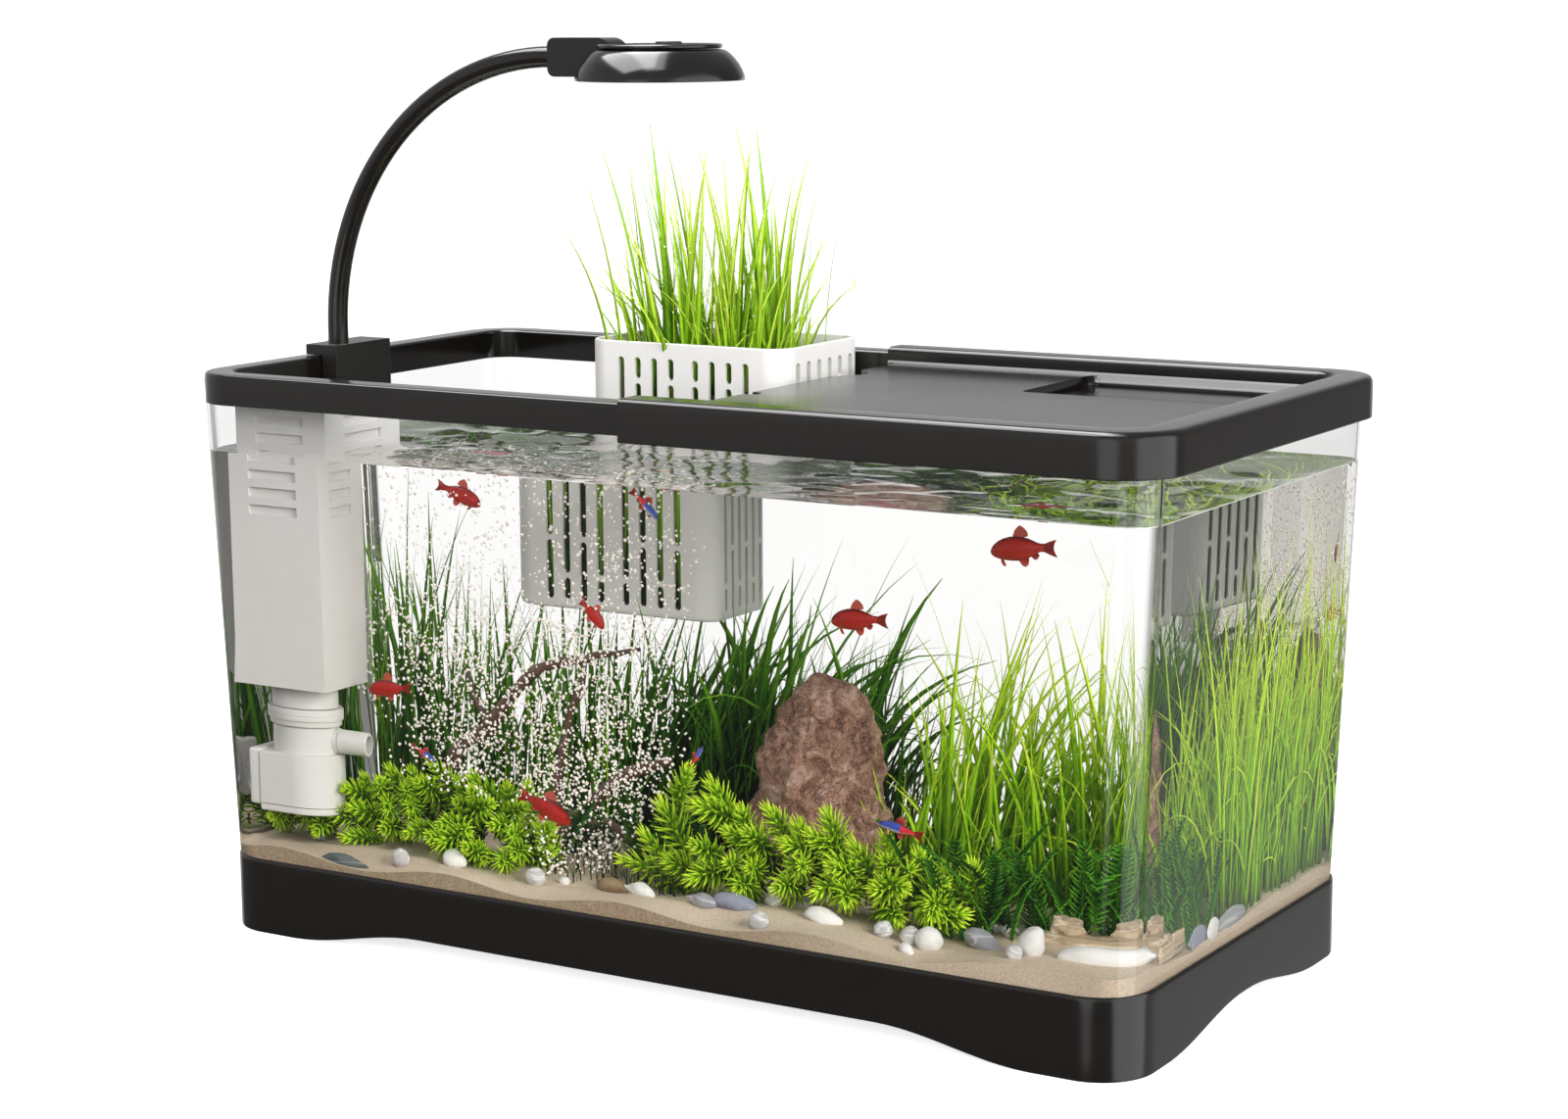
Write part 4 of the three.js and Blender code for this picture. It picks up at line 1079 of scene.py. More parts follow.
def sand_height(x, y):
    dune = 34.0 + 2.0 * noise_at(x / 62.0, y / 30.0, 2.0) + 0.7 * noise_at(x / 17.0, y / 9.0, 7.0)
    dune += 1.3 * math.sin(x / 19.0 + 1.7 * math.sin(y / 23.0 + x / 70.0))
    near = smooth_step(-y, 66.0, 91.0)
    return dune * (1 - near) + (edge_height(x) + 0.4) * near + 0.8 * smooth_step(-y, 60.0, 76.0) * (1 - near)


def sand():
    inset = TANK_WALL + 0.06
    loops = [tank_loop(z, inset + extra, 12, (110, 50)) for z,
             extra in ((TANK_FLOOR + 0.3, 3.5), (TANK_FLOOR + 1.6, 1.0), (TANK_FLOOR + 5, 0.0))]
    top = tank_loop(33.0, inset, 12, (110, 50))
    cut = [0.9 - 0.75 * smooth_step(x, 20, 120) for x, y, z in top]
    rings, shades = loops[:], cut * 3
    for level in (0.55, 1.0):
        rings.append([(x, y, 22.3 + (sand_height(x, y) - 22.3) * level) for x, y, z in top])
        shades += cut
    steps = 44
    for k in range(1, steps):
        share = 1 - (k / steps) ** 1.15
        rings.append([(x * share, y * share, sand_height(x * share, y * share)) for x, y, z in top])
        shades += [0.0] * len(top)
    whole = Shape().add(loft(rings), shades)
    make("sand_bed_grains", whole, SAND, "tank_unit", ["sand_bed"], sharp=50, shaded=True)


def pebble(at, size, yaw=0.0, roll=0.0, seed=0, rough=0.06, point=0.0, n=28):
    """A river stone: an uneven ellipsoid, turned, and narrowed at one end if point is above 0."""
    a, b, c = size
    turn = Matrix.Rotation(math.radians(yaw), 3, "Z") @ Matrix.Rotation(math.radians(roll), 3, "Y")
    rings = []
    for directions in globe(n // 2, n):
        ring = []
        for d in directions:
            broad = noise.noise(d * 1.4 + Vector((seed * 3.1, 0, 0)))
            fine = noise.noise(d * 5 + Vector((0, seed * 1.7, 0)))
            swell = 1 + rough * 2.2 * broad + rough * 0.5 * fine
            narrow = 1 - point * smooth_step(d.x, -0.2, 1.0)
            p = Vector((d.x * a, d.y * b * narrow, d.z * c * narrow)) * swell
            ring.append(tuple(turn @ p + Vector(at)))
        rings.append(ring)
    return loft(rings)


def stones():
    def group(name, items, material, replaces=()):
        whole = Shape()
        for i, (x, y, half, yaw, roll, point, sink) in enumerate(items):
            z = sand_height(x, y) + half[2] * sink
            whole.add(pebble((x, y, z), half, yaw, roll, seed=i + len(name), point=point))
        make(name, whole, material, "tank_unit", replaces, sharp=0)

    group("white_flat_stones",
          [(173, -70, (14.5, 5, 4.4), 4, -4, 0.55, 0.25), (68, -70, (8.0, 4.6, 3.5), 3, 8, 0.35, 0.3),
                                (-91, -71, (5.6, 4.4, 4.0), -10, 6, 0.25, 0.55),
           (111, -73, (5.2, 4.2, 4.8), 30, 0, 0.1, 0.5),
                                (187.4, -22, (1.3, 5, 4.5), 0, 0, 0.1, 0.5)], WHITE_STONE,
          ["pebble_white"])
    group("white_upright_stone",
          [(149, -70, (6.6, 4.6, 4.9), 0, -66, 0.1, 0.75), (104.5, -80, (3.4, 2.6, 2.2), -25, 30, 0.4, 0.3)],
          WHITE_STONE, ["pebble_upright"])
    group("white_teardrop_stones",
          [(-9, -70, (6.6, 4.2, 3.5), 178, -8, 0.75, 0.5), (-45, -62, (2.4, 2.2, 2.0), 0, 0, 0, 0.4)],
          WHITE_STONE, ["pebble_pale"])
    group("grey_stones", [(128, -60, (8.4, 4.2, 4.0), -6, 22, 0.35, 0.45),
                          (19, -73, (6.9, 4.0, 3.2), 176, -6, 0.6, 0.4),
                          (186.0, -5, (1.6, 12, 4.6), -3, 0, 0.2, 0.5)], GREY_STONE,
          ["pebble_grey"])
    group("striped_stones", [(47, -85, (4.1, 3.9, 3.6), 0, 0, 0, 0.6),
                             (92, -70, (3.7, 3.5, 3.4), 30, 0, 0, 0.6),
                             (103, -71, (4.2, 3.9, 3.6), 60, 0, 0, 0.6),
                             (112, -44, (2.6, 2.5, 2.4), 0, 0, 0, 0.7),
                             (145, -78.5, (3.2, 2.8, 3.3), 0, 60, 0.2, 0.5),
                             (-112, -81, (3.9, 3.8, 3.7), 0, 0, 0, 0.65),
                             (-54, -72, (4.3, 4.0, 3.7), 20, 0, 0, 0.65),
                             (42, -54, (3.6, 3.5, 3.1), 0, 0, 0, 0.6),
                             (52.5, -49, (4.2, 3.6, 3.3), 0, 0, 0, 0.6)],
          STRIPED_STONE)
    group("blue_speckled_stones",
          [(32, -71, (9.0, 5.0, 3.5), 0, 4, 0.1, 0.4), (186.6, -34, (1.6, 7.0, 4.6), 0, 0, 0.1, 0.55)],
          BLUE_STONE, ["pebble_blue"])
    group("slate_stones", [(-136, -86.5, (10.8, 3.0, 3.0), 0, 3, 0.45, 0.25),
                           (-159, -62, (2.8, 2.6, 2.4), 0, 0, 0, 0.5)], SLATE_STONE,
          ["pebble_slate"])
    group("brown_stone", [(-25, -58, (7.0, 4.4, 3.2), 0, 4, 0.2, 0.45)], BROWN_STONE)


def chunk(at, half, seed, lumps=0.16, yaw=0.0):
    """A broken piece of layered rock: a squared ellipsoid with stepped layers."""
    rings = []
    turn = Matrix.Rotation(math.radians(yaw), 3, "Z")
    for directions in globe(20, 40):
        ring = []
        for d in directions:
            square = 1 / max(abs(d.x), abs(d.y), abs(d.z)) ** 0.62
            layer = round(d.z * 3.5) * 0.05
            broad = noise.noise(d * 2.1 + Vector((seed, 0, 0)))
            fine = noise.noise(d * 7 + Vector((0, seed, 0)))
            swell = square * (1 + lumps * broad + 0.07 * fine) - layer * 0.4
            ring.append(tuple(turn @ Vector((d.x * half[0], d.y * half[1], d.z * half[2])) * swell
                              + Vector(at)))
        rings.append(ring)
    return loft(rings)


def layered_rock():
    whole = shape(chunk((158, -48, 37.2), (13.0, 6, 3.4), seed=1.0),
                  chunk((155, -46, 42.0), (5.6, 4.4, 3.6), seed=5.0, lumps=0.25),
                  chunk((184.5, -56, 36.8), (2.2, 9, 3.2), seed=9.0, lumps=0.1, yaw=4),
                  chunk((185.5, -50, 39.5), (2.0, 5, 3.0), seed=12.0, lumps=0.1))
    make("layered_rock_pieces", whole, TAN_ROCK, "tank_unit", sharp=40)


def mountain():
    levels = [(29, 3, 67, -3, 47), (38, 3.5, 66, -2, 46), (50, 5, 64, 0, 43), (63, 7, 61.5, 2, 41),
              (76, 9.5, 60.5, 4, 38.5), (84, 12, 59.5, 5, 36), (92, 16.5, 57.5, 7, 34), (99, 21, 55.5, 9, 31),
              (104, 25.5, 53.5, 11, 29), (107.5, 29, 48, 14, 27),
              (110.5, 32.5, 37.5, 18, 23)]
    n, rows, rings = 110, 84, []
    for i in range(rows):
        z = levels[0][0] + (levels[-1][0] - levels[0][0]) * i / (rows - 1)
        low = max(j for j, level in enumerate(levels[:-1]) if level[0] <= z)
        t = (z - levels[low][0]) / (levels[low + 1][0] - levels[low][0])
        x0, x1, y0, y1 = (levels[low][j] + (levels[low + 1][j] - levels[low][j]) * t for j in (1, 2, 3, 4))
        cx, cy, rx, ry = (x0 + x1) / 2, (y0 + y1) / 2, (x1 - x0) / 2, (y1 - y0) / 2
        fade = min(1.0, 0.35 + rx / 20)
        ring, corners = [], []
        for j, (turn, reach) in enumerate(((-176, 1.02), (-138, 1.10), (-98, 1.10), (-38, 1.12), (8, 1.02),
                                           (74, 1.0), (132, 1.05))):
            a = math.radians(turn + 13 * noise_at(z / 19.0, j * 3.1, 0.5))
            r = reach * (1 + 0.16 * noise_at(z / 12.0, j * 5.3, 4.5))
            corners.append(Vector((math.cos(a) * r, math.sin(a) * r, 0)))
        for k in range(n):
            a = 2 * math.pi * k / n
            ray = Vector((math.cos(a), math.sin(a), 0))
            reach = 1.0
            for one, other in zip(corners, corners[1:] + corners[:1]):
                edge = other - one
                cross = ray.x * edge.y - ray.y * edge.x
                if abs(cross) > 1e-6:
                    away = (one.x * edge.y - one.y * edge.x) / cross
                    share = (one.x * ray.y - one.y * ray.x) / cross
                    if away > 0 and 0 <= share <= 1:
                        reach = away
            p = Vector((cx + rx * ray.x * reach, cy + ry * ray.y * reach, z))
            near = noise.voronoi(p / 8.0)[0]
            facets = 3.0 * (min(near[1] - near[0], 0.30) - 0.2)
            push = fade * (facets + 1.0 * noise.noise(p / 8.0) + 1.1 * noise.noise(p / 3.4)
                           + 0.75 * noise.noise(p / 1.6))
            rise = fade * 2.2 * noise.noise(p / 9.0 + Vector((9, 9, 9)))
            ring.append((p.x + push * ray.x, p.y + push * ray.y, z + rise))
        rings.append(ring)
    make("mountain_rock", shape(loft(rings)), ROCK, "tank_unit", ["feature_rock"], sharp=30)


# ------------------------------------------------------------------ driftwood
def knotty(points, thick, seed):
    """A limb through the points, thick at each one, with a wandering line and knots."""
    path, radii = [], []
    for (p, q), (r0, r1) in zip(zip(points, points[1:]), zip(thick, thick[1:])):
        for k in range(10):
            t = k / 10
            path.append(Vector(p).lerp(Vector(q), t))
            radii.append(r0 + (r1 - r0) * t)
    path.append(Vector(points[-1]))
    radii.append(thick[-1])
    for _ in range(3):
        between_ends = [(a + b * 2 + c) / 4 for a, b, c in zip(path, path[1:], path[2:])]
        path = [path[0]] + between_ends + [path[-1]]

    def nudge(p, coarse, step, last, amount):
        """The point moved by up to amount along each axis."""
        drift = [noise.noise(p / coarse + Vector((seed, step * axis, last))) for axis in range(3)]
        return p + Vector(drift) * amount

    moved = [nudge(p, 9.0, 4.0, 0, 0.9) for p in path]
    knots = [r * (1 + 0.25 * noise.noise(p / 4.0 + Vector((0, seed, 0)))) for p, r in zip(moved, radii)]
    verts, faces = tube(moved, knots, 12)
    return [tuple(nudge(Vector(v), 2.2, 3.0, 1, 0.28)) for v in verts], faces


def driftwood():
    whole = shape(
        knotty([(-136, 10, 36), (-125, 12, 66), (-110, 14, 76), (-97, 15, 92), (-86, 16, 102), (-66, 18, 107),
                (-42, 20, 112)],
               [3.2, 3.0, 2.8, 2.5, 2.2, 1.6, 0.7], 1.0),
        knotty([(-66, 18, 106.5), (-68, 16, 96), (-74, 14, 80), (-77, 10, 62), (-76, 6, 40)],
               [0.8, 1.5, 1.7, 2.0, 2.4], 4.0),
        knotty([(-84, -6, 36), (-74, -6, 41), (-60, -6, 49), (-50, -6, 59), (-38, -6, 68), (-20, -6, 75)],
               [3.8, 3.6, 3.2, 2.9, 2.5, 2.1], 7.0),
        knotty([(-72, -14, 38), (-60, -14, 44), (-45, -14, 49), (-34, -14, 44), (-26, -14, 35)],
               [2.9, 2.7, 2.4, 2.6, 2.8], 10.0),
        knotty([(-110, 14, 75), (-121, 22, 88), (-128, 30, 96)], [1.8, 1.2, 0.6], 13.0))
    make("driftwood_limbs", whole, WOOD, "tank_unit", ["driftwood"], sharp=60)


# ------------------------------------------------------------------ plants
def course(base, azimuth, tilt, bend, length, steps):
    """A path that starts tilt from upright towards azimuth and bends over by bend, all in radians."""
    p, path = Vector(base), [Vector(base)]
    for k in range(steps):
        a = tilt + bend * ((k + 1) / steps) ** 1.4
        p = p + Vector((math.cos(azimuth) * math.sin(a), math.sin(azimuth) * math.sin(a),
                        math.cos(a))) * (length / steps)
        path.append(p.copy())
    return path


def blade(whole, path, width, azimuth, shades, twist=0.0, taper=1.6, keel=0.22):
    """A grass blade: three-sided, widest a third of the way up and run out to a point."""
    last = len(path) - 1
    verts, values = [], []
    for i, p in enumerate(path):
        t = i / last
        along = (path[min(i + 1, last)] - path[max(i - 1, 0)]).normalized()
        a = azimuth + math.pi / 2 + twist * t
        side = Vector((math.cos(a), math.sin(a), 0))
        side = (side - along * side.dot(along)).normalized()
        up = along.cross(side)
        half = 0.5 * width * (0.55 + 0.45 * smooth_step(t, 0.0, 0.3)) * max(0.04, 1 - t ** taper)
        verts += [tuple(p - side * half), tuple(p + side * half), tuple(p + up * half * 2 * keel)]
        # Painted shade and light: the shade runs from shades[0] at the base to shades[1] at the tip, darker
        # low in the clump and brighter towards the lit tip. The ridge point is a little darker.
        value = shades[0] + (shades[1] - shades[0]) * t
        values += [value, value, value - 0.06]
    whole.add(loft([verts[i:i + 3] for i in range(0, len(verts), 3)]), values)


def inside(path, hx=185.0, hy=90.5):
    """Keeps a path within the glass and under the water."""
    kept = []
    for p in path:
        share = (p.z - TANK_BOTTOM) / (TANK_TOP - TANK_BOTTOM)
        x = min(max(p.x, -hx - 8 * share), hx + 8 * share)
        y = min(max(p.y, -hy - 2 * share), hy + 2 * share)
        kept.append(Vector((x, y, min(p.z, WATER - 3))))
    return kept


def grass_bank(name, seed, count, where, height, width, lean, bend, shades, material,
               replaces=(), steps=8, droop=0.0):
    """Blades that grow from places drawn by where(rng), each with its height limit."""
    rng = random.Random(seed)
    whole = Shape()
    for i in range(count):
        x, y, tall = where(rng)
        length = tall * rng.uniform(*height)
        azimuth = rng.gauss(lean[0], lean[1])
        bends = rng.uniform(*bend) + (droop if rng.random() < 0.16 else 0)
        path = inside(course((x, y, 31.5), azimuth, rng.uniform(0.0, lean[2]), bends, length, steps))
        if x > 50 and min(p.x for p in path) < 52:
            continue
        # Each blade's shades pair runs from painted shade at its base to painted light at its tip. light
        # shifts the pair by a random amount for each blade.
        light = rng.uniform(-0.16, 0.16)
        blade(whole, path, rng.uniform(*width), azimuth + rng.uniform(-0.9, 0.9),
              (shades[0] + light, shades[1] + light), rng.uniform(-0.7, 0.7))
    grow(name, whole, material, replaces)


def grasses():
    def across(x0, x1, y0, y1, profile):
        def draw(rng):
            x, y = rng.uniform(x0, x1), rng.uniform(y0, y1)
            return x, y, between(x, profile)
        return draw

    grass_bank("dark_grass_wide", seed=11, count=210,
               where=across(-66, 44, 42, 84, [(-66, 92), (-34, 112), (0, 124), (44, 112)]),
               height=(0.55, 1.12), width=(3.6, 6.6), lean=(0.0, 1.0, 0.30), bend=(0.3, 1.25),
               shades=(0.08, 0.86), material=DARK_GRASS, replaces=["grass_back"], steps=10,
               droop=0.7)
    grass_bank("dark_grass_fine", seed=12, count=240,
               where=across(-66, 62, 30, 86, [(-66, 90), (0, 112), (62, 88)]), height=(0.4, 1.0),
               width=(1.6, 3.0), lean=(0.2, 1.6, 0.20), bend=(0.0, 0.7), shades=(0.05, 0.72),
               material=DARK_GRASS)
    grass_bank("left_grass", seed=13, count=165,
               where=across(-184, -58, 26, 88,
                            [(-184, 138), (-150, 124), (-120, 104), (-96, 116), (-58, 100)]),
               height=(0.35, 1.05), width=(2.0, 4.8), lean=(0.2, 2.0, 0.16), bend=(0.0, 0.75),
               shades=(0.25, 0.95), material=DARK_GRASS)
    grass_bank("left_fine_grass", seed=17, count=90,
               where=across(-184, -58, 26, 88, [(-184, 120), (-58, 96)]), height=(0.4, 1.0),
               width=(1.1, 2.2), lean=(0.2, 2.0, 0.12), bend=(0.0, 0.5), shades=(0.0, 0.60),
               material=BRIGHT_GRASS)
    grass_bank("bright_grass", seed=14, count=380,
               where=across(58, 178, 12, 76,
                            [(58, 50), (74, 92), (90, 122), (110, 104), (150, 106), (178, 98)]),
               height=(0.35, 1.10), width=(1.8, 4.2), lean=(0.2, 1.9, 0.22), bend=(0.1, 1.15),
               shades=(0.08, 1.0), material=BRIGHT_GRASS, replaces=["grass_right"], steps=10,
               droop=1.5)
    grass_bank("bright_grass_low", seed=15, count=190,
               where=across(84, 180, 10, 50, [(84, 42), (110, 58), (180, 64)]), height=(0.35, 1.0),
               width=(1.1, 2.4), lean=(0.2, 2.0, 0.25), bend=(0.2, 1.2), shades=(0.0, 0.85),
               material=BRIGHT_GRASS, replaces=(), steps=8, droop=0.8)
    grass_bank("tall_grass", seed=16, count=165,
               where=across(156, 184, -8, 88, [(156, 100), (170, 134), (184, 130)]), height=(0.40, 1.10),
               width=(2.0, 4.2), lean=(1.3, 1.6, 0.12), bend=(0.0, 0.60), shades=(0.16, 1.10),
               material=BRIGHT_GRASS, replaces=["grass_tall"], steps=9, droop=1.4)


def finger(whole, base, out, along, length, radius, shades, lift):
    """One short curved leaf: it leaves the stem towards out and turns up along the stem."""
    p, verts, values = Vector(base), [], []
    direction = out
    last = 3
    for k in range(last + 1):
        t = k / last
        across = direction.cross(along)
        across = across.normalized() if across.length > 1e-4 else Vector((1, 0, 0))
        up = across.cross(direction)
        r = radius * (0.8, 1.15, 0.95, 0.2)[k]
        verts += [tuple(p + across * r), tuple(p - across * r * 0.5 + up * r * 0.87),
                  tuple(p - across * r * 0.5 - up * r * 0.87)]
        # Painted shade and light: the shade runs from shades[0] where the leaf leaves the stem to shades[1]
        # at its tip.
        values += [shades[0] + (shades[1] - shades[0]) * t] * 3
        direction = (direction + along * lift).normalized()
        p = p + direction * (length / last)
    whole.add(loft([verts[i:i + 3] for i in range(0, len(verts), 3)]), values)


def sprig(whole, rng, tip, facing, reach, size, light):
    """A shoot that ends at tip, pointing facing, with rings of finger leaves that close up at the end."""
    whorls = leaves = 9
    facing = facing.normalized()
    start = tip - facing * reach - Vector((0, 0, reach * 0.25))
    path = [start.lerp(tip, t) + Vector((0, 0, math.sin(math.pi * t) * reach * 0.08))
            for t in (0, 0.25, 0.5, 0.75, 1.0)]
    whole.add(tube(path, [0.9, 0.9, 0.8, 0.7, 0.5], 5), 0.25 + light)
    for w in range(whorls):
        t = (w + 0.5) / whorls
        center = start.lerp(tip, t) + Vector((0, 0, math.sin(math.pi * t) * reach * 0.08))
        side = facing.cross(Vector((0, 0, 1)) if abs(facing.z) < 0.9 else Vector((1, 0, 0))).normalized()
        other = facing.cross(side)
        close = smooth_step(t, 0.55, 1.0)
        for k in range(leaves):
            a = 2 * math.pi * (k + 0.5 * (w % 2) + rng.uniform(-0.2, 0.2)) / leaves
            out = (side * math.cos(a)
                   + other * math.sin(a)) * (1 - 0.5 * close) + facing * (0.42 + 0.7 * close)
            # Painted shade and light: whorls low on the shoot and each leaf's root are darker, whorls near
            # the tip and each leaf's end brighter.
            finger(whole, center, out.normalized(), facing,
                   size * (1 - 0.22 * close) * rng.uniform(0.85, 1.18), 0.47,
                   (-0.18 + 0.34 * t + light, 0.66 + 0.42 * t + light), 0.14)


def hornwort():
    def mound(name, seed, spots, replaces, size, light=0.0):
        rng = random.Random(seed)
        whole = Shape()
        for x, y, z, dx, dy, dz in spots:
            facing = Vector((dx + rng.uniform(-0.15, 0.15), dy + rng.uniform(-0.15, 0.15),
                             dz + rng.uniform(-0.15, 0.15)))
            sprig(whole, rng, Vector((x, y, z)), facing, rng.uniform(20, 28), size * rng.uniform(0.9, 1.1),
                  light + rng.uniform(-0.08, 0.08))
        grow(name, whole, HORNWORT, replaces)

    def spots(seed, tips, rows, low):
        """Tips along the skyline, then further rows of shoots in front that lie lower and reach outwards."""
        rng = random.Random(seed)
        placed = []
        for x, z in tips:
            placed.append((x, rng.uniform(-56, -48), z - 1.5, rng.uniform(-0.5, 0.5), -0.7, 0.9))
        x0, x1 = min(t[0] for t in tips), max(t[0] for t in tips)
        for y, share, count in rows:
            for i in range(count):
                x = x0 + (x1 - x0) * (i + 0.5 + rng.uniform(-0.3, 0.3)) / count
                sky = min(tips, key=lambda tip: abs(tip[0] - x))[1]
                side = (x - (x0 + x1) / 2) / (x1 - x0)
                placed.append((x, y + rng.uniform(-3, 3), low + (sky - low) * share + rng.uniform(-3, 3),
                               side * 1.5 + rng.uniform(-0.7, 0.7), -1.0, 0.9 * share - 0.25))
        return placed

    left = spots(21, [(-182, 52), (-170, 58), (-155, 61), (-142, 60), (-128, 65), (-116, 66), (-108, 69),
                      (-97, 64), (-88, 67), (-76, 64), (-66, 66), (-58, 52)],
                 [(-60, 0.72, 11), (-66, 0.42, 10), (-70, 0.12, 8)], 38)
    left += [(-54, -56, 42, 0.9, -0.6, 0.3), (-56, -52, 50, 0.9, -0.4, 0.6), (-68, -74, 39, 0.3, -1, 0.1),
             (-84, -73, 42, 0.0, -1, 0.2), (-100, -74, 44, -0.2, -1, 0.2)]
    mound("hornwort_left_sprigs", 22, left, ["hornwort_left"], 7.4, -0.04)
    middle = spots(23, [(4, 80), (15, 76), (28, 68), (40, 70), (53, 66), (65, 71), (76, 62), (86, 66),
                        (100, 61), (111, 57), (120, 60)],
                   [(-58, 0.70, 9), (-64, 0.40, 8), (-67, 0.12, 7)], 40)
    middle += [(118, -58, 43, 1.0, -0.4, 0.3), (-13, -52, 53, -0.7, -0.5, 0.8),
               (-21, -54, 43, -1.0, -0.5, 0.3), (0, -58, 46, -0.6, -0.8, 0.3), (-6, -50, 64, -0.5, -0.4, 0.9)]
    mound("hornwort_middle_sprigs", 24, middle, ["hornwort_middle"], 8.8, 0.06)


def frond(whole, rng, base, azimuth, tilt, bend, length, needle, light):
    path = course(base, azimuth, tilt, bend, length, 10)
    whole.add(tube([tuple(p) for p in path], [0.8 - 0.06 * k for k in range(11)], 5), 0.2 + light)
    pairs = int(length / 2.0)
    for i in range(pairs):
        t = (i + 0.5) / pairs
        k = min(int(t * 10), 9)
        p = path[k].lerp(path[k + 1], t * 10 - k)
        along = (path[k + 1] - path[k]).normalized()
        side = along.cross(Vector((math.cos(azimuth), math.sin(azimuth), 0.35))).normalized()
        size = needle * (0.45 + 0.55 * math.sin(math.pi * min(1.0, 0.15 + t * 0.9)))
        for turn in (-1, 1):
            out = (side * turn + along * 0.55 + Vector((0, 0, rng.uniform(-0.12, 0.12)))).normalized()
            # Painted shade and light: each needle runs from dark where it leaves the stem to bright at its
            # tip.
            finger(whole, p, out, along, size * rng.uniform(0.9, 1.1), 0.46,
                   (0.0 + light, 0.86 + light + rng.uniform(-0.1, 0.12)), 0.14)


def fern(rng):
    whole = Shape()
    for i in range(38):
        x, y = rng.uniform(104, 182), rng.uniform(-44, -8)
        if i < 14:
            x = 104 + 78 * (i + 0.5) / 14
            y = rng.uniform(-54, -47) if x < 140 else rng.uniform(-42, -36)
        azimuth = rng.choice((rng.uniform(2.6, 3.6), rng.uniform(-0.5, 0.5), rng.uniform(-2.0, -1.0)))
        frond(whole, rng, (x, y, 32), azimuth, rng.uniform(0.1, 0.5), rng.uniform(0.2, 0.8),
              rng.uniform(30, 46), rng.uniform(6.0, 8.5), rng.uniform(-0.15, 0.12))
    for i in range(16):
        frond(whole, rng, (rng.uniform(-64, 2), rng.uniform(-30, 0), 32), rng.uniform(-2.6, -0.4),
              rng.uniform(0.1, 0.6), 0.5, rng.uniform(24, 42), 6.5, rng.uniform(-0.2, 0.0))
    whole.verts = [tuple(p) for p in inside([Vector(v) for v in whole.verts], hx=183.5, hy=89.5)]
    grow("fern_fronds", whole, FERN, ["fern_right"])


def root_tufts(rng):
    tufts = Shape()
    for i in range(26):
        x, y = rng.uniform(120, 186), rng.uniform(-44, -34)
        for _ in range(16):
            a = rng.uniform(0, 2 * math.pi)
            out = Vector((math.cos(a), math.sin(a), rng.uniform(0.3, 1.2))).normalized()
            finger(tufts, (x, y, sand_height(x, y)), out, Vector((0, 0, 1)), rng.uniform(2.5, 5.0), 0.3,
                   (0.9, 1.0), 0.1)
    make("white_root_tufts", tufts, WHITE_STONE, "tank_unit", sharp=0, recalc=False)


def sand_weeds(rng):
    weeds = Shape()
    for i in range(150):
        x, y = rng.uniform(-58, 2), rng.uniform(-60, -36)
        azimuth = rng.uniform(0, 2 * math.pi)
        path = course((x, y, sand_height(x, y) - 1), azimuth, 0.1, rng.uniform(0, 0.9), rng.uniform(6, 17), 5)
        blade(weeds, path, rng.uniform(0.5, 1.0), azimuth, (0.1, 0.6))
    grow("sand_weeds", weeds, MOSS)


def undergrowth():
    rng = random.Random(31)
    fern(rng)
    root_tufts(rng)
    sand_weeds(rng)


def wheat_blades(rng):
    """Tall and short blades that fan out of the basket, then thin stalks between them."""
    whole = Shape()
    for i in range(210):
        x, y = BASKET_X + rng.uniform(-37, 30), BASKET_Y + rng.uniform(-25, 20)
        if i % 3 == 0:
            x = min(max(BASKET_X + rng.choice((-14.0, 16.0)) + rng.gauss(0, 9), BASKET_X - 37), BASKET_X + 34)
        azimuth = rng.gauss(0, 0.7) if x > BASKET_X + 20 else rng.uniform(-math.pi, math.pi)
        if x < BASKET_X - 12:
            azimuth = math.pi + rng.gauss(0, 0.7)
        tall = rng.random() < 0.30
        length = rng.uniform(74, 106) if tall else rng.uniform(28, 76)
        if i in (0, 3):
            x, tall, length = (-72.0, -38.0)[i // 3], True, 110.5
        path = course((x, y, MEDIUM_TOP), azimuth, rng.uniform(0, 0.10), rng.uniform(0.05, 0.35) if tall
                      else rng.uniform(0.2, 1.3), length, 9)
        if path[-1].z > BLADE_TOP:
            grown, limit = path[-1].z - MEDIUM_TOP, BLADE_TOP - MEDIUM_TOP
            path = [Vector((p.x, p.y, MEDIUM_TOP + (p.z - MEDIUM_TOP) * limit / grown)) for p in path]
        path = [Vector((min(p.x, -4), p.y, p.z)) for p in path]
        # Painted shade and light: each blade runs from dark where it leaves the basket to bright at its tip.
        # light shifts it by a random amount.
        light = rng.choice((-0.45, -0.08, 0.0, 0.06, 0.12))
        blade(whole, path, rng.uniform(2.6, 4.2) if tall else rng.uniform(1.6, 3.6), azimuth,
              (0.30 + light * 0.5, 1.0 + light), rng.uniform(-0.8, 0.8), keel=0.14)
    for i in range(46):
        x, y = BASKET_X + rng.uniform(-34, 40), BASKET_Y + rng.uniform(-22, 22)
        azimuth = rng.gauss(0, 0.5)
        path = course((x, y, MEDIUM_TOP), azimuth, 0.02, rng.uniform(0.2, 0.5), rng.uniform(50, 88), 9)
        blade(whole, path, 0.45, azimuth, (0.5, 0.35), 0, 3.0)
    return whole


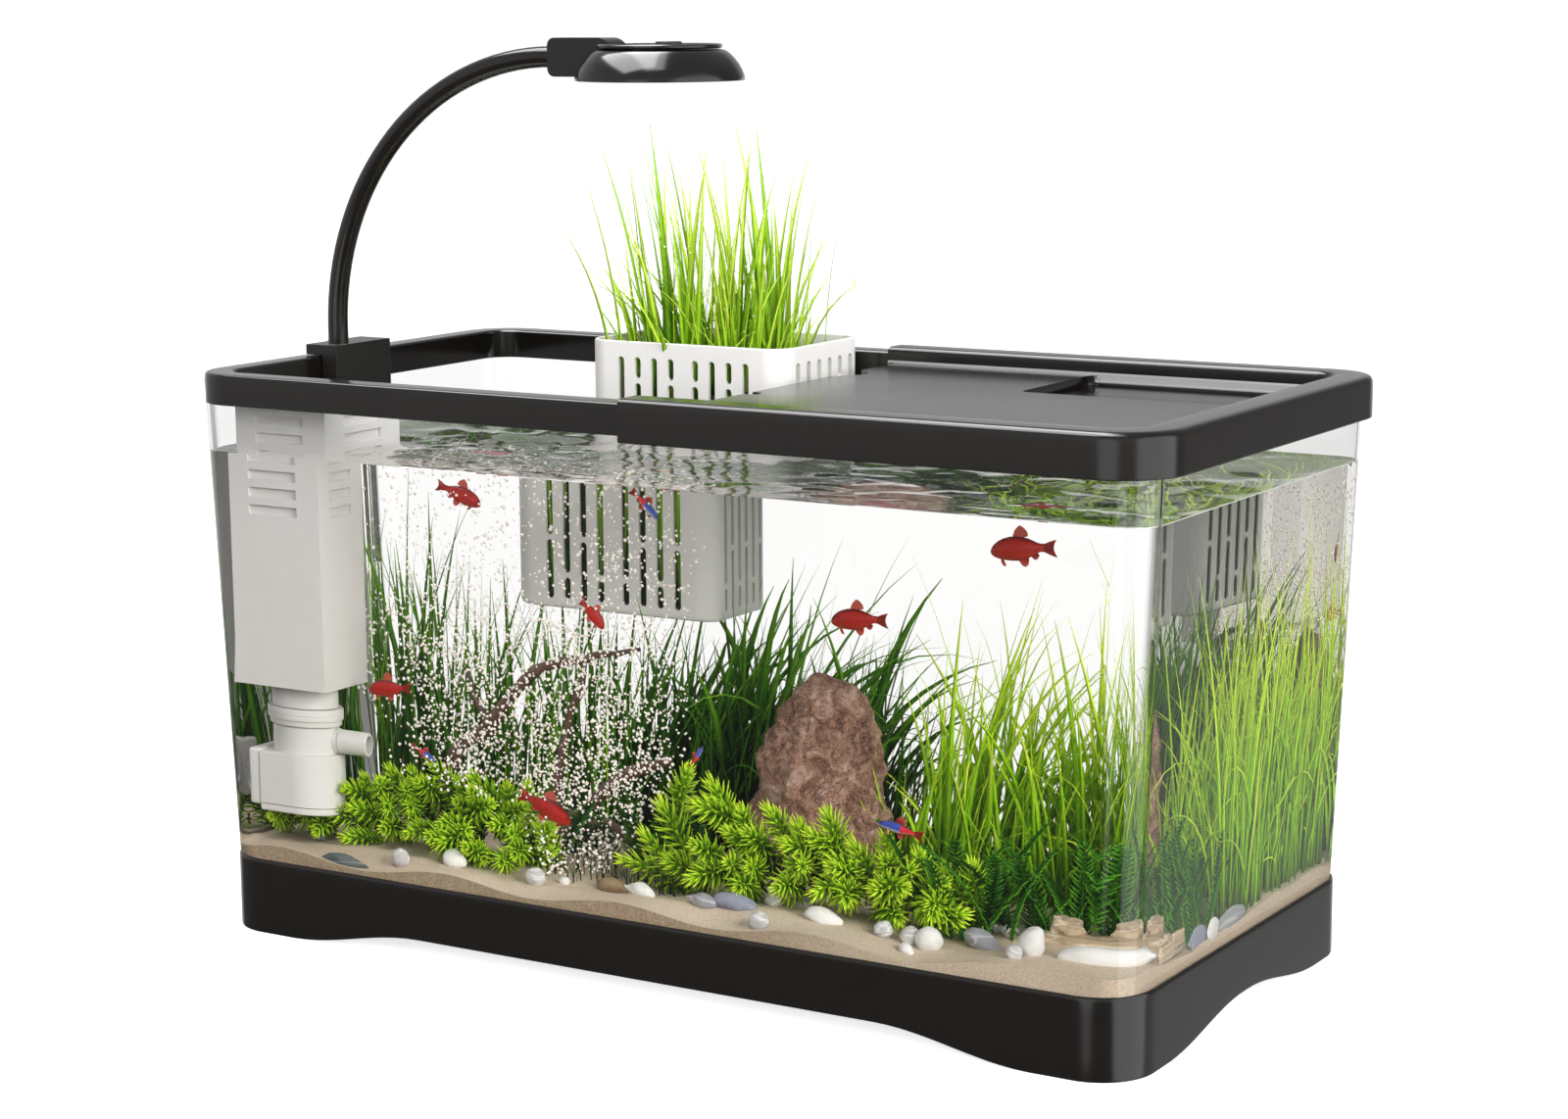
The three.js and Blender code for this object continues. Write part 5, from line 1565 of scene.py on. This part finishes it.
def side_blades(rng):
    """Blades pressed against the basket's walls, seen through its slots."""
    roots = Shape()
    for i in range(150):
        a = rng.uniform(0, 2 * math.pi)
        x = BASKET_X + min(max(46 * math.cos(a), -42.2), 42.2)
        y = BASKET_Y + min(max(36 * math.sin(a), -28.2), 28.2)
        if x > BASKET_X + 34:
            continue
        path = [Vector((x + rng.uniform(-0.6, 0.6) + lean * t * 6, y, 129 + 70 * t))
                for lean in (rng.uniform(-1, 1),) for t in (0, 0.2, 0.4, 0.6, 0.8, 1.0)]
        path = [Vector((min(max(p.x, BASKET_X - 42.2), BASKET_X + 42.2), p.y, p.z)) for p in path]
        # Painted shade: these blades inside the basket stay dark low down and brighten only part way up.
        blade(roots, path, rng.uniform(1.4, 2.8), math.pi / 2 if abs(y - BASKET_Y) > 27 else 0.0,
              (0.1, rng.uniform(0.35, 0.95)), 0, 6.0)
    return roots


def moss():
    rings, shades = [], []
    for k in range(36):
        z = 128.6 + 67.4 * k / 35
        ring = []
        for x, y in rounded_loop(38.6, 26.4, 7.0, BASKET_X - 2.4, BASKET_Y, 6, (26, 16)):
            out = Vector((x - BASKET_X, y - BASKET_Y, 0)).normalized()
            at = Vector((x, y, z))
            push = 1.7 * noise.noise(at / 5.0) + 0.9 * noise.noise(at / 1.9)
            ring.append((x + out.x * push, y + out.y * push, z))
            shades.append(0.35 + 0.5 * noise.noise(at / 4.0))
        rings.append(ring)
    whole = Shape().add(loft(rings), shades)
    make("basket_moss", whole, MOSS, "basket_unit", ["planting_medium"], sharp=0, shaded=True)


def basket_plant():
    rng = random.Random(41)
    blades, roots = wheat_blades(rng), side_blades(rng)
    grow("wheatgrass_blades", blades, WHEAT, ["wheatgrass"], "basket_unit")
    grow("basket_inner_blades", roots, WHEAT, body="basket_unit")
    moss()


# ------------------------------------------------------------------ fish and air
def fish(name, at, length, yaw, pitch, neon=False):
    """A small fish along +x, head at +x, turned to its heading. Lengths are shares of the whole length."""
    turn = Matrix.Rotation(math.radians(yaw), 3, "Z") @ Matrix.Rotation(math.radians(pitch), 3, "Y")
    deep = 0.62 if neon else 1.0
    stations = [(0.500, 0.010, -0.045, 0.008), (0.480, 0.050, -0.040, 0.028), (0.440, 0.085, -0.030, 0.050),
                (0.380, 0.118, -0.018, 0.064), (0.300, 0.143, -0.008, 0.074), (0.200, 0.160, 0.000, 0.080),
                (0.100, 0.164, 0.003, 0.080), (0.000, 0.152, 0.006, 0.074), (-0.080, 0.128, 0.010, 0.062),
                (-0.150, 0.098, 0.014, 0.046), (-0.210, 0.070, 0.018, 0.032), (-0.255, 0.056, 0.020, 0.022),
                (-0.300, 0.058, 0.020, 0.012)]
    whole = Shape()
    n = 22

    def put(points):
        return [tuple(turn @ (Vector(p) * length) + Vector(at)) for p in points]

    rings, shades = [], []
    for x, high, mid, wide in stations:
        ring = []
        for k in range(n):
            a = 2 * math.pi * k / n
            ring.append((x, math.sin(a) * wide, mid + math.cos(a) * high * deep))
            shades.append(0.5 + 0.5 * math.cos(a))
        rings.append(put(ring))
    verts, faces = loft(rings)
    whole.verts, whole.faces, whole.shade = verts, list(faces), shades
    split = 7 * n if neon else len(faces)
    whole.mats = [int(i >= split) for i in range(len(faces))]

    def fin(outline, thick=0.006, bend=0.0):
        """A thin plate in the middle plane, from (x, z) points, ribbed along its rays."""
        verts = [(x, bend * max(0.0, abs(z)) + side * thick * (0.6 if i % 2 else 1.0), z)
                 for side in (-1, 1) for i, (x, z) in enumerate(outline)]
        count = len(outline)
        faces = [tuple(range(count)), tuple(range(2 * count - 1, count - 1, -1))]
        faces += [(i, count + i, count + (i + 1) % count, (i + 1) % count) for i in range(count)]
        whole.add((put(verts), faces), [0.25 + 0.75 * (abs(z) > 0.12) for x, z in outline] * 2, 2)

    fin([(-0.27, 0.06), (-0.33, 0.078), (-0.40, 0.105), (-0.47, 0.125), (-0.50, 0.125), (-0.47, 0.085),
         (-0.455, 0.045), (-0.45, 0.015), (-0.455, -0.02), (-0.475, -0.065), (-0.50, -0.105), (-0.47, -0.10),
         (-0.40, -0.075), (-0.33, -0.045),
         (-0.27, -0.025)])
    top = 0.160 * deep
    fin([(0.155, top - 0.03), (0.150, top + 0.02), (0.120, top + 0.085), (0.060, top + 0.145),
         (0.030, top + 0.150), (-0.020, top + 0.120), (-0.065, top + 0.07), (-0.078, top + 0.025),
         (-0.070, top + 0.005), (-0.02, top - 0.005), (0.04, top - 0.03)], 0.005)
    low = -0.135 * deep
    fin([(0.09, low - 0.005), (0.065, low - 0.045), (0.02, low - 0.095), (-0.02, low - 0.105),
         (-0.06, low - 0.075), (-0.075, low - 0.02), (-0.07, low + 0.02), (0.0, low + 0.02)], 0.005)
    fin([(-0.10, low + 0.045), (-0.145, low + 0.0), (-0.175, low - 0.01), (-0.21, low + 0.01),
         (-0.235, low + 0.055), (-0.21, low + 0.085)], 0.004)
    fin([(0.335, low + 0.03), (0.325, low - 0.035), (0.29, low - 0.085), (0.25, low - 0.095),
         (0.245, low - 0.075), (0.275, low - 0.03), (0.295, low + 0.03)], 0.005, 0.35)
    for side in (-1, 1):
        verts, faces = pebble((0.425, side * 0.045, 0.012 * deep), (0.020, 0.012, 0.020), rough=0.0, n=14)
        whole.add((put(verts), faces), 0.5, 3)
    make(name, whole, [NEON_SKIN, NEON_RED, RED_FIN, EYE] if neon else [RED_SKIN, RED_SKIN, RED_FIN, EYE],
         "tank_unit", sharp=50, shaded=True)


def shoal():
    for i, (x, y, z, size, yaw, pitch) in enumerate([
            (-101, -34, 171, 20, 24, 18), (-124, -60, 97, 20, 182, 3), (-53, -62, 60, 23.5, 8, 20),
                                                     (-32, -58, 134, 15, 50, 42),
            (76, -50, 141, 23, 178, 2), (139, -50, 171, 25.5, 176, 4)]):
        fish("red_fish_%d" % (i + 1), (x, y, z), length=size, yaw=yaw, pitch=pitch)
    for i, (x, y, z, size, yaw,
            pitch) in enumerate([(-12, -50, 175, 15, 20, 42), (-108, -62, 74, 12, 12, 26),
                                 (97, -64, 71, 18.5, 176, -12), (7, -46, 84, 10, 60, -50)]):
        fish("neon_fish_%d" % (i + 1), (x, y, z), length=size, yaw=yaw, pitch=pitch, neon=True)


def unit_ball():
    """Points and faces of a 12-point ball of radius 1."""
    work = bmesh.new()
    bmesh.ops.create_icosphere(work, subdivisions=1, radius=1.0)
    made = [tuple(v.co) for v in work.verts], [tuple(v.index for v in f.verts) for f in work.faces]
    work.free()
    return made


BALL = unit_ball()


def ball(at, r):
    return [(at[0] + x * r, at[1] + y * r, at[2] + z * r) for x, y, z in BALL[0]], BALL[1]


def bubbles():
    rng = random.Random(51)
    left = [(36, -52), (50, -70), (66, -120), (90, -158), (120, -166), (160, -178), (183, -186)]
    right = [(36, -32), (50, -22), (75, -12), (100, -6), (130, -6), (160, 0), (183, 6)]

    for part in range(2):
        whole = Shape()
        for i in range(4300):
            z = 36 + 147 * rng.random() if rng.random() < 0.62 else 60 + 70 * rng.random()
            x0, x1 = between(z, left), between(z, right)
            x, y = x0 + (x1 - x0) * rng.random() ** 0.9, rng.uniform(-70, -8)
            curl = noise_at(x / 16.0, z / 16.0, y / 30.0)
            if curl < -0.06 and rng.random() < 0.82 or x < -124 and y < -34:
                continue
            whole.add(ball((x, y, z), 0.36 + 0.46 * rng.random() ** 1.6))
        make("air_bubbles_%d" % (part + 1), whole, BUBBLE, "tank_unit", sharp=0, recalc=False)
    drops = Shape()
    for i in range(34):
        drops.add(ball((rng.gauss(-56, 20), rng.uniform(20, 60), rng.uniform(222, 262)),
                       rng.uniform(0.2, 0.42)))
    make("spray_droplets", drops, BUBBLE, "basket_unit", sharp=0, recalc=False)


sand()
stones()
layered_rock()
mountain()
driftwood()
grasses()
hornwort()
undergrowth()
basket_plant()
shoal()
bubbles()


# ------------------------------------------------------------------ suction cups and the plain nodes
CUP = clear("clear_rubber", (0.86, 0.88, 0.88), ior=1.42, rough=0.2).mat


def suction_cups():
    profile = [(7.0, -188.3), (7.0, -187.9), (6.2, -187.4), (4.4, -186.9), (3.2, -186.4), (2.9, -185.9)]
    for name, y in (("front", -69.0), ("back", -50.0)):
        rings = [[(x, v, w) for v, w in circle(y, 58, r, 40)] for r, x in profile]
        cup = shape(loft(rings))
        make("suction_cup_%s_rubber" % name, cup, CUP, "tank_unit", ["suction_cup_" + name])


suction_cups()

FINISHES = {"rubber": RUBBER, "white_plastic": WHITE, "board": BOARD, "diffuser": DIFFUSER, "steel": STEEL,
            "black_satin": SATIN, "black_gloss": BLACK,
            "sponge": SPONGE, "magnet": MAGNET}
SLOT_OF = {part["node"]: part["material_slot"] for part in frame["record"]["subparts"]}
for name, node in frame["nodes"].items():
    finish = FINISHES.get(SLOT_OF[name])
    if finish:
        for i in range(len(node.material_slots)):
            node.material_slots[i].material = finish
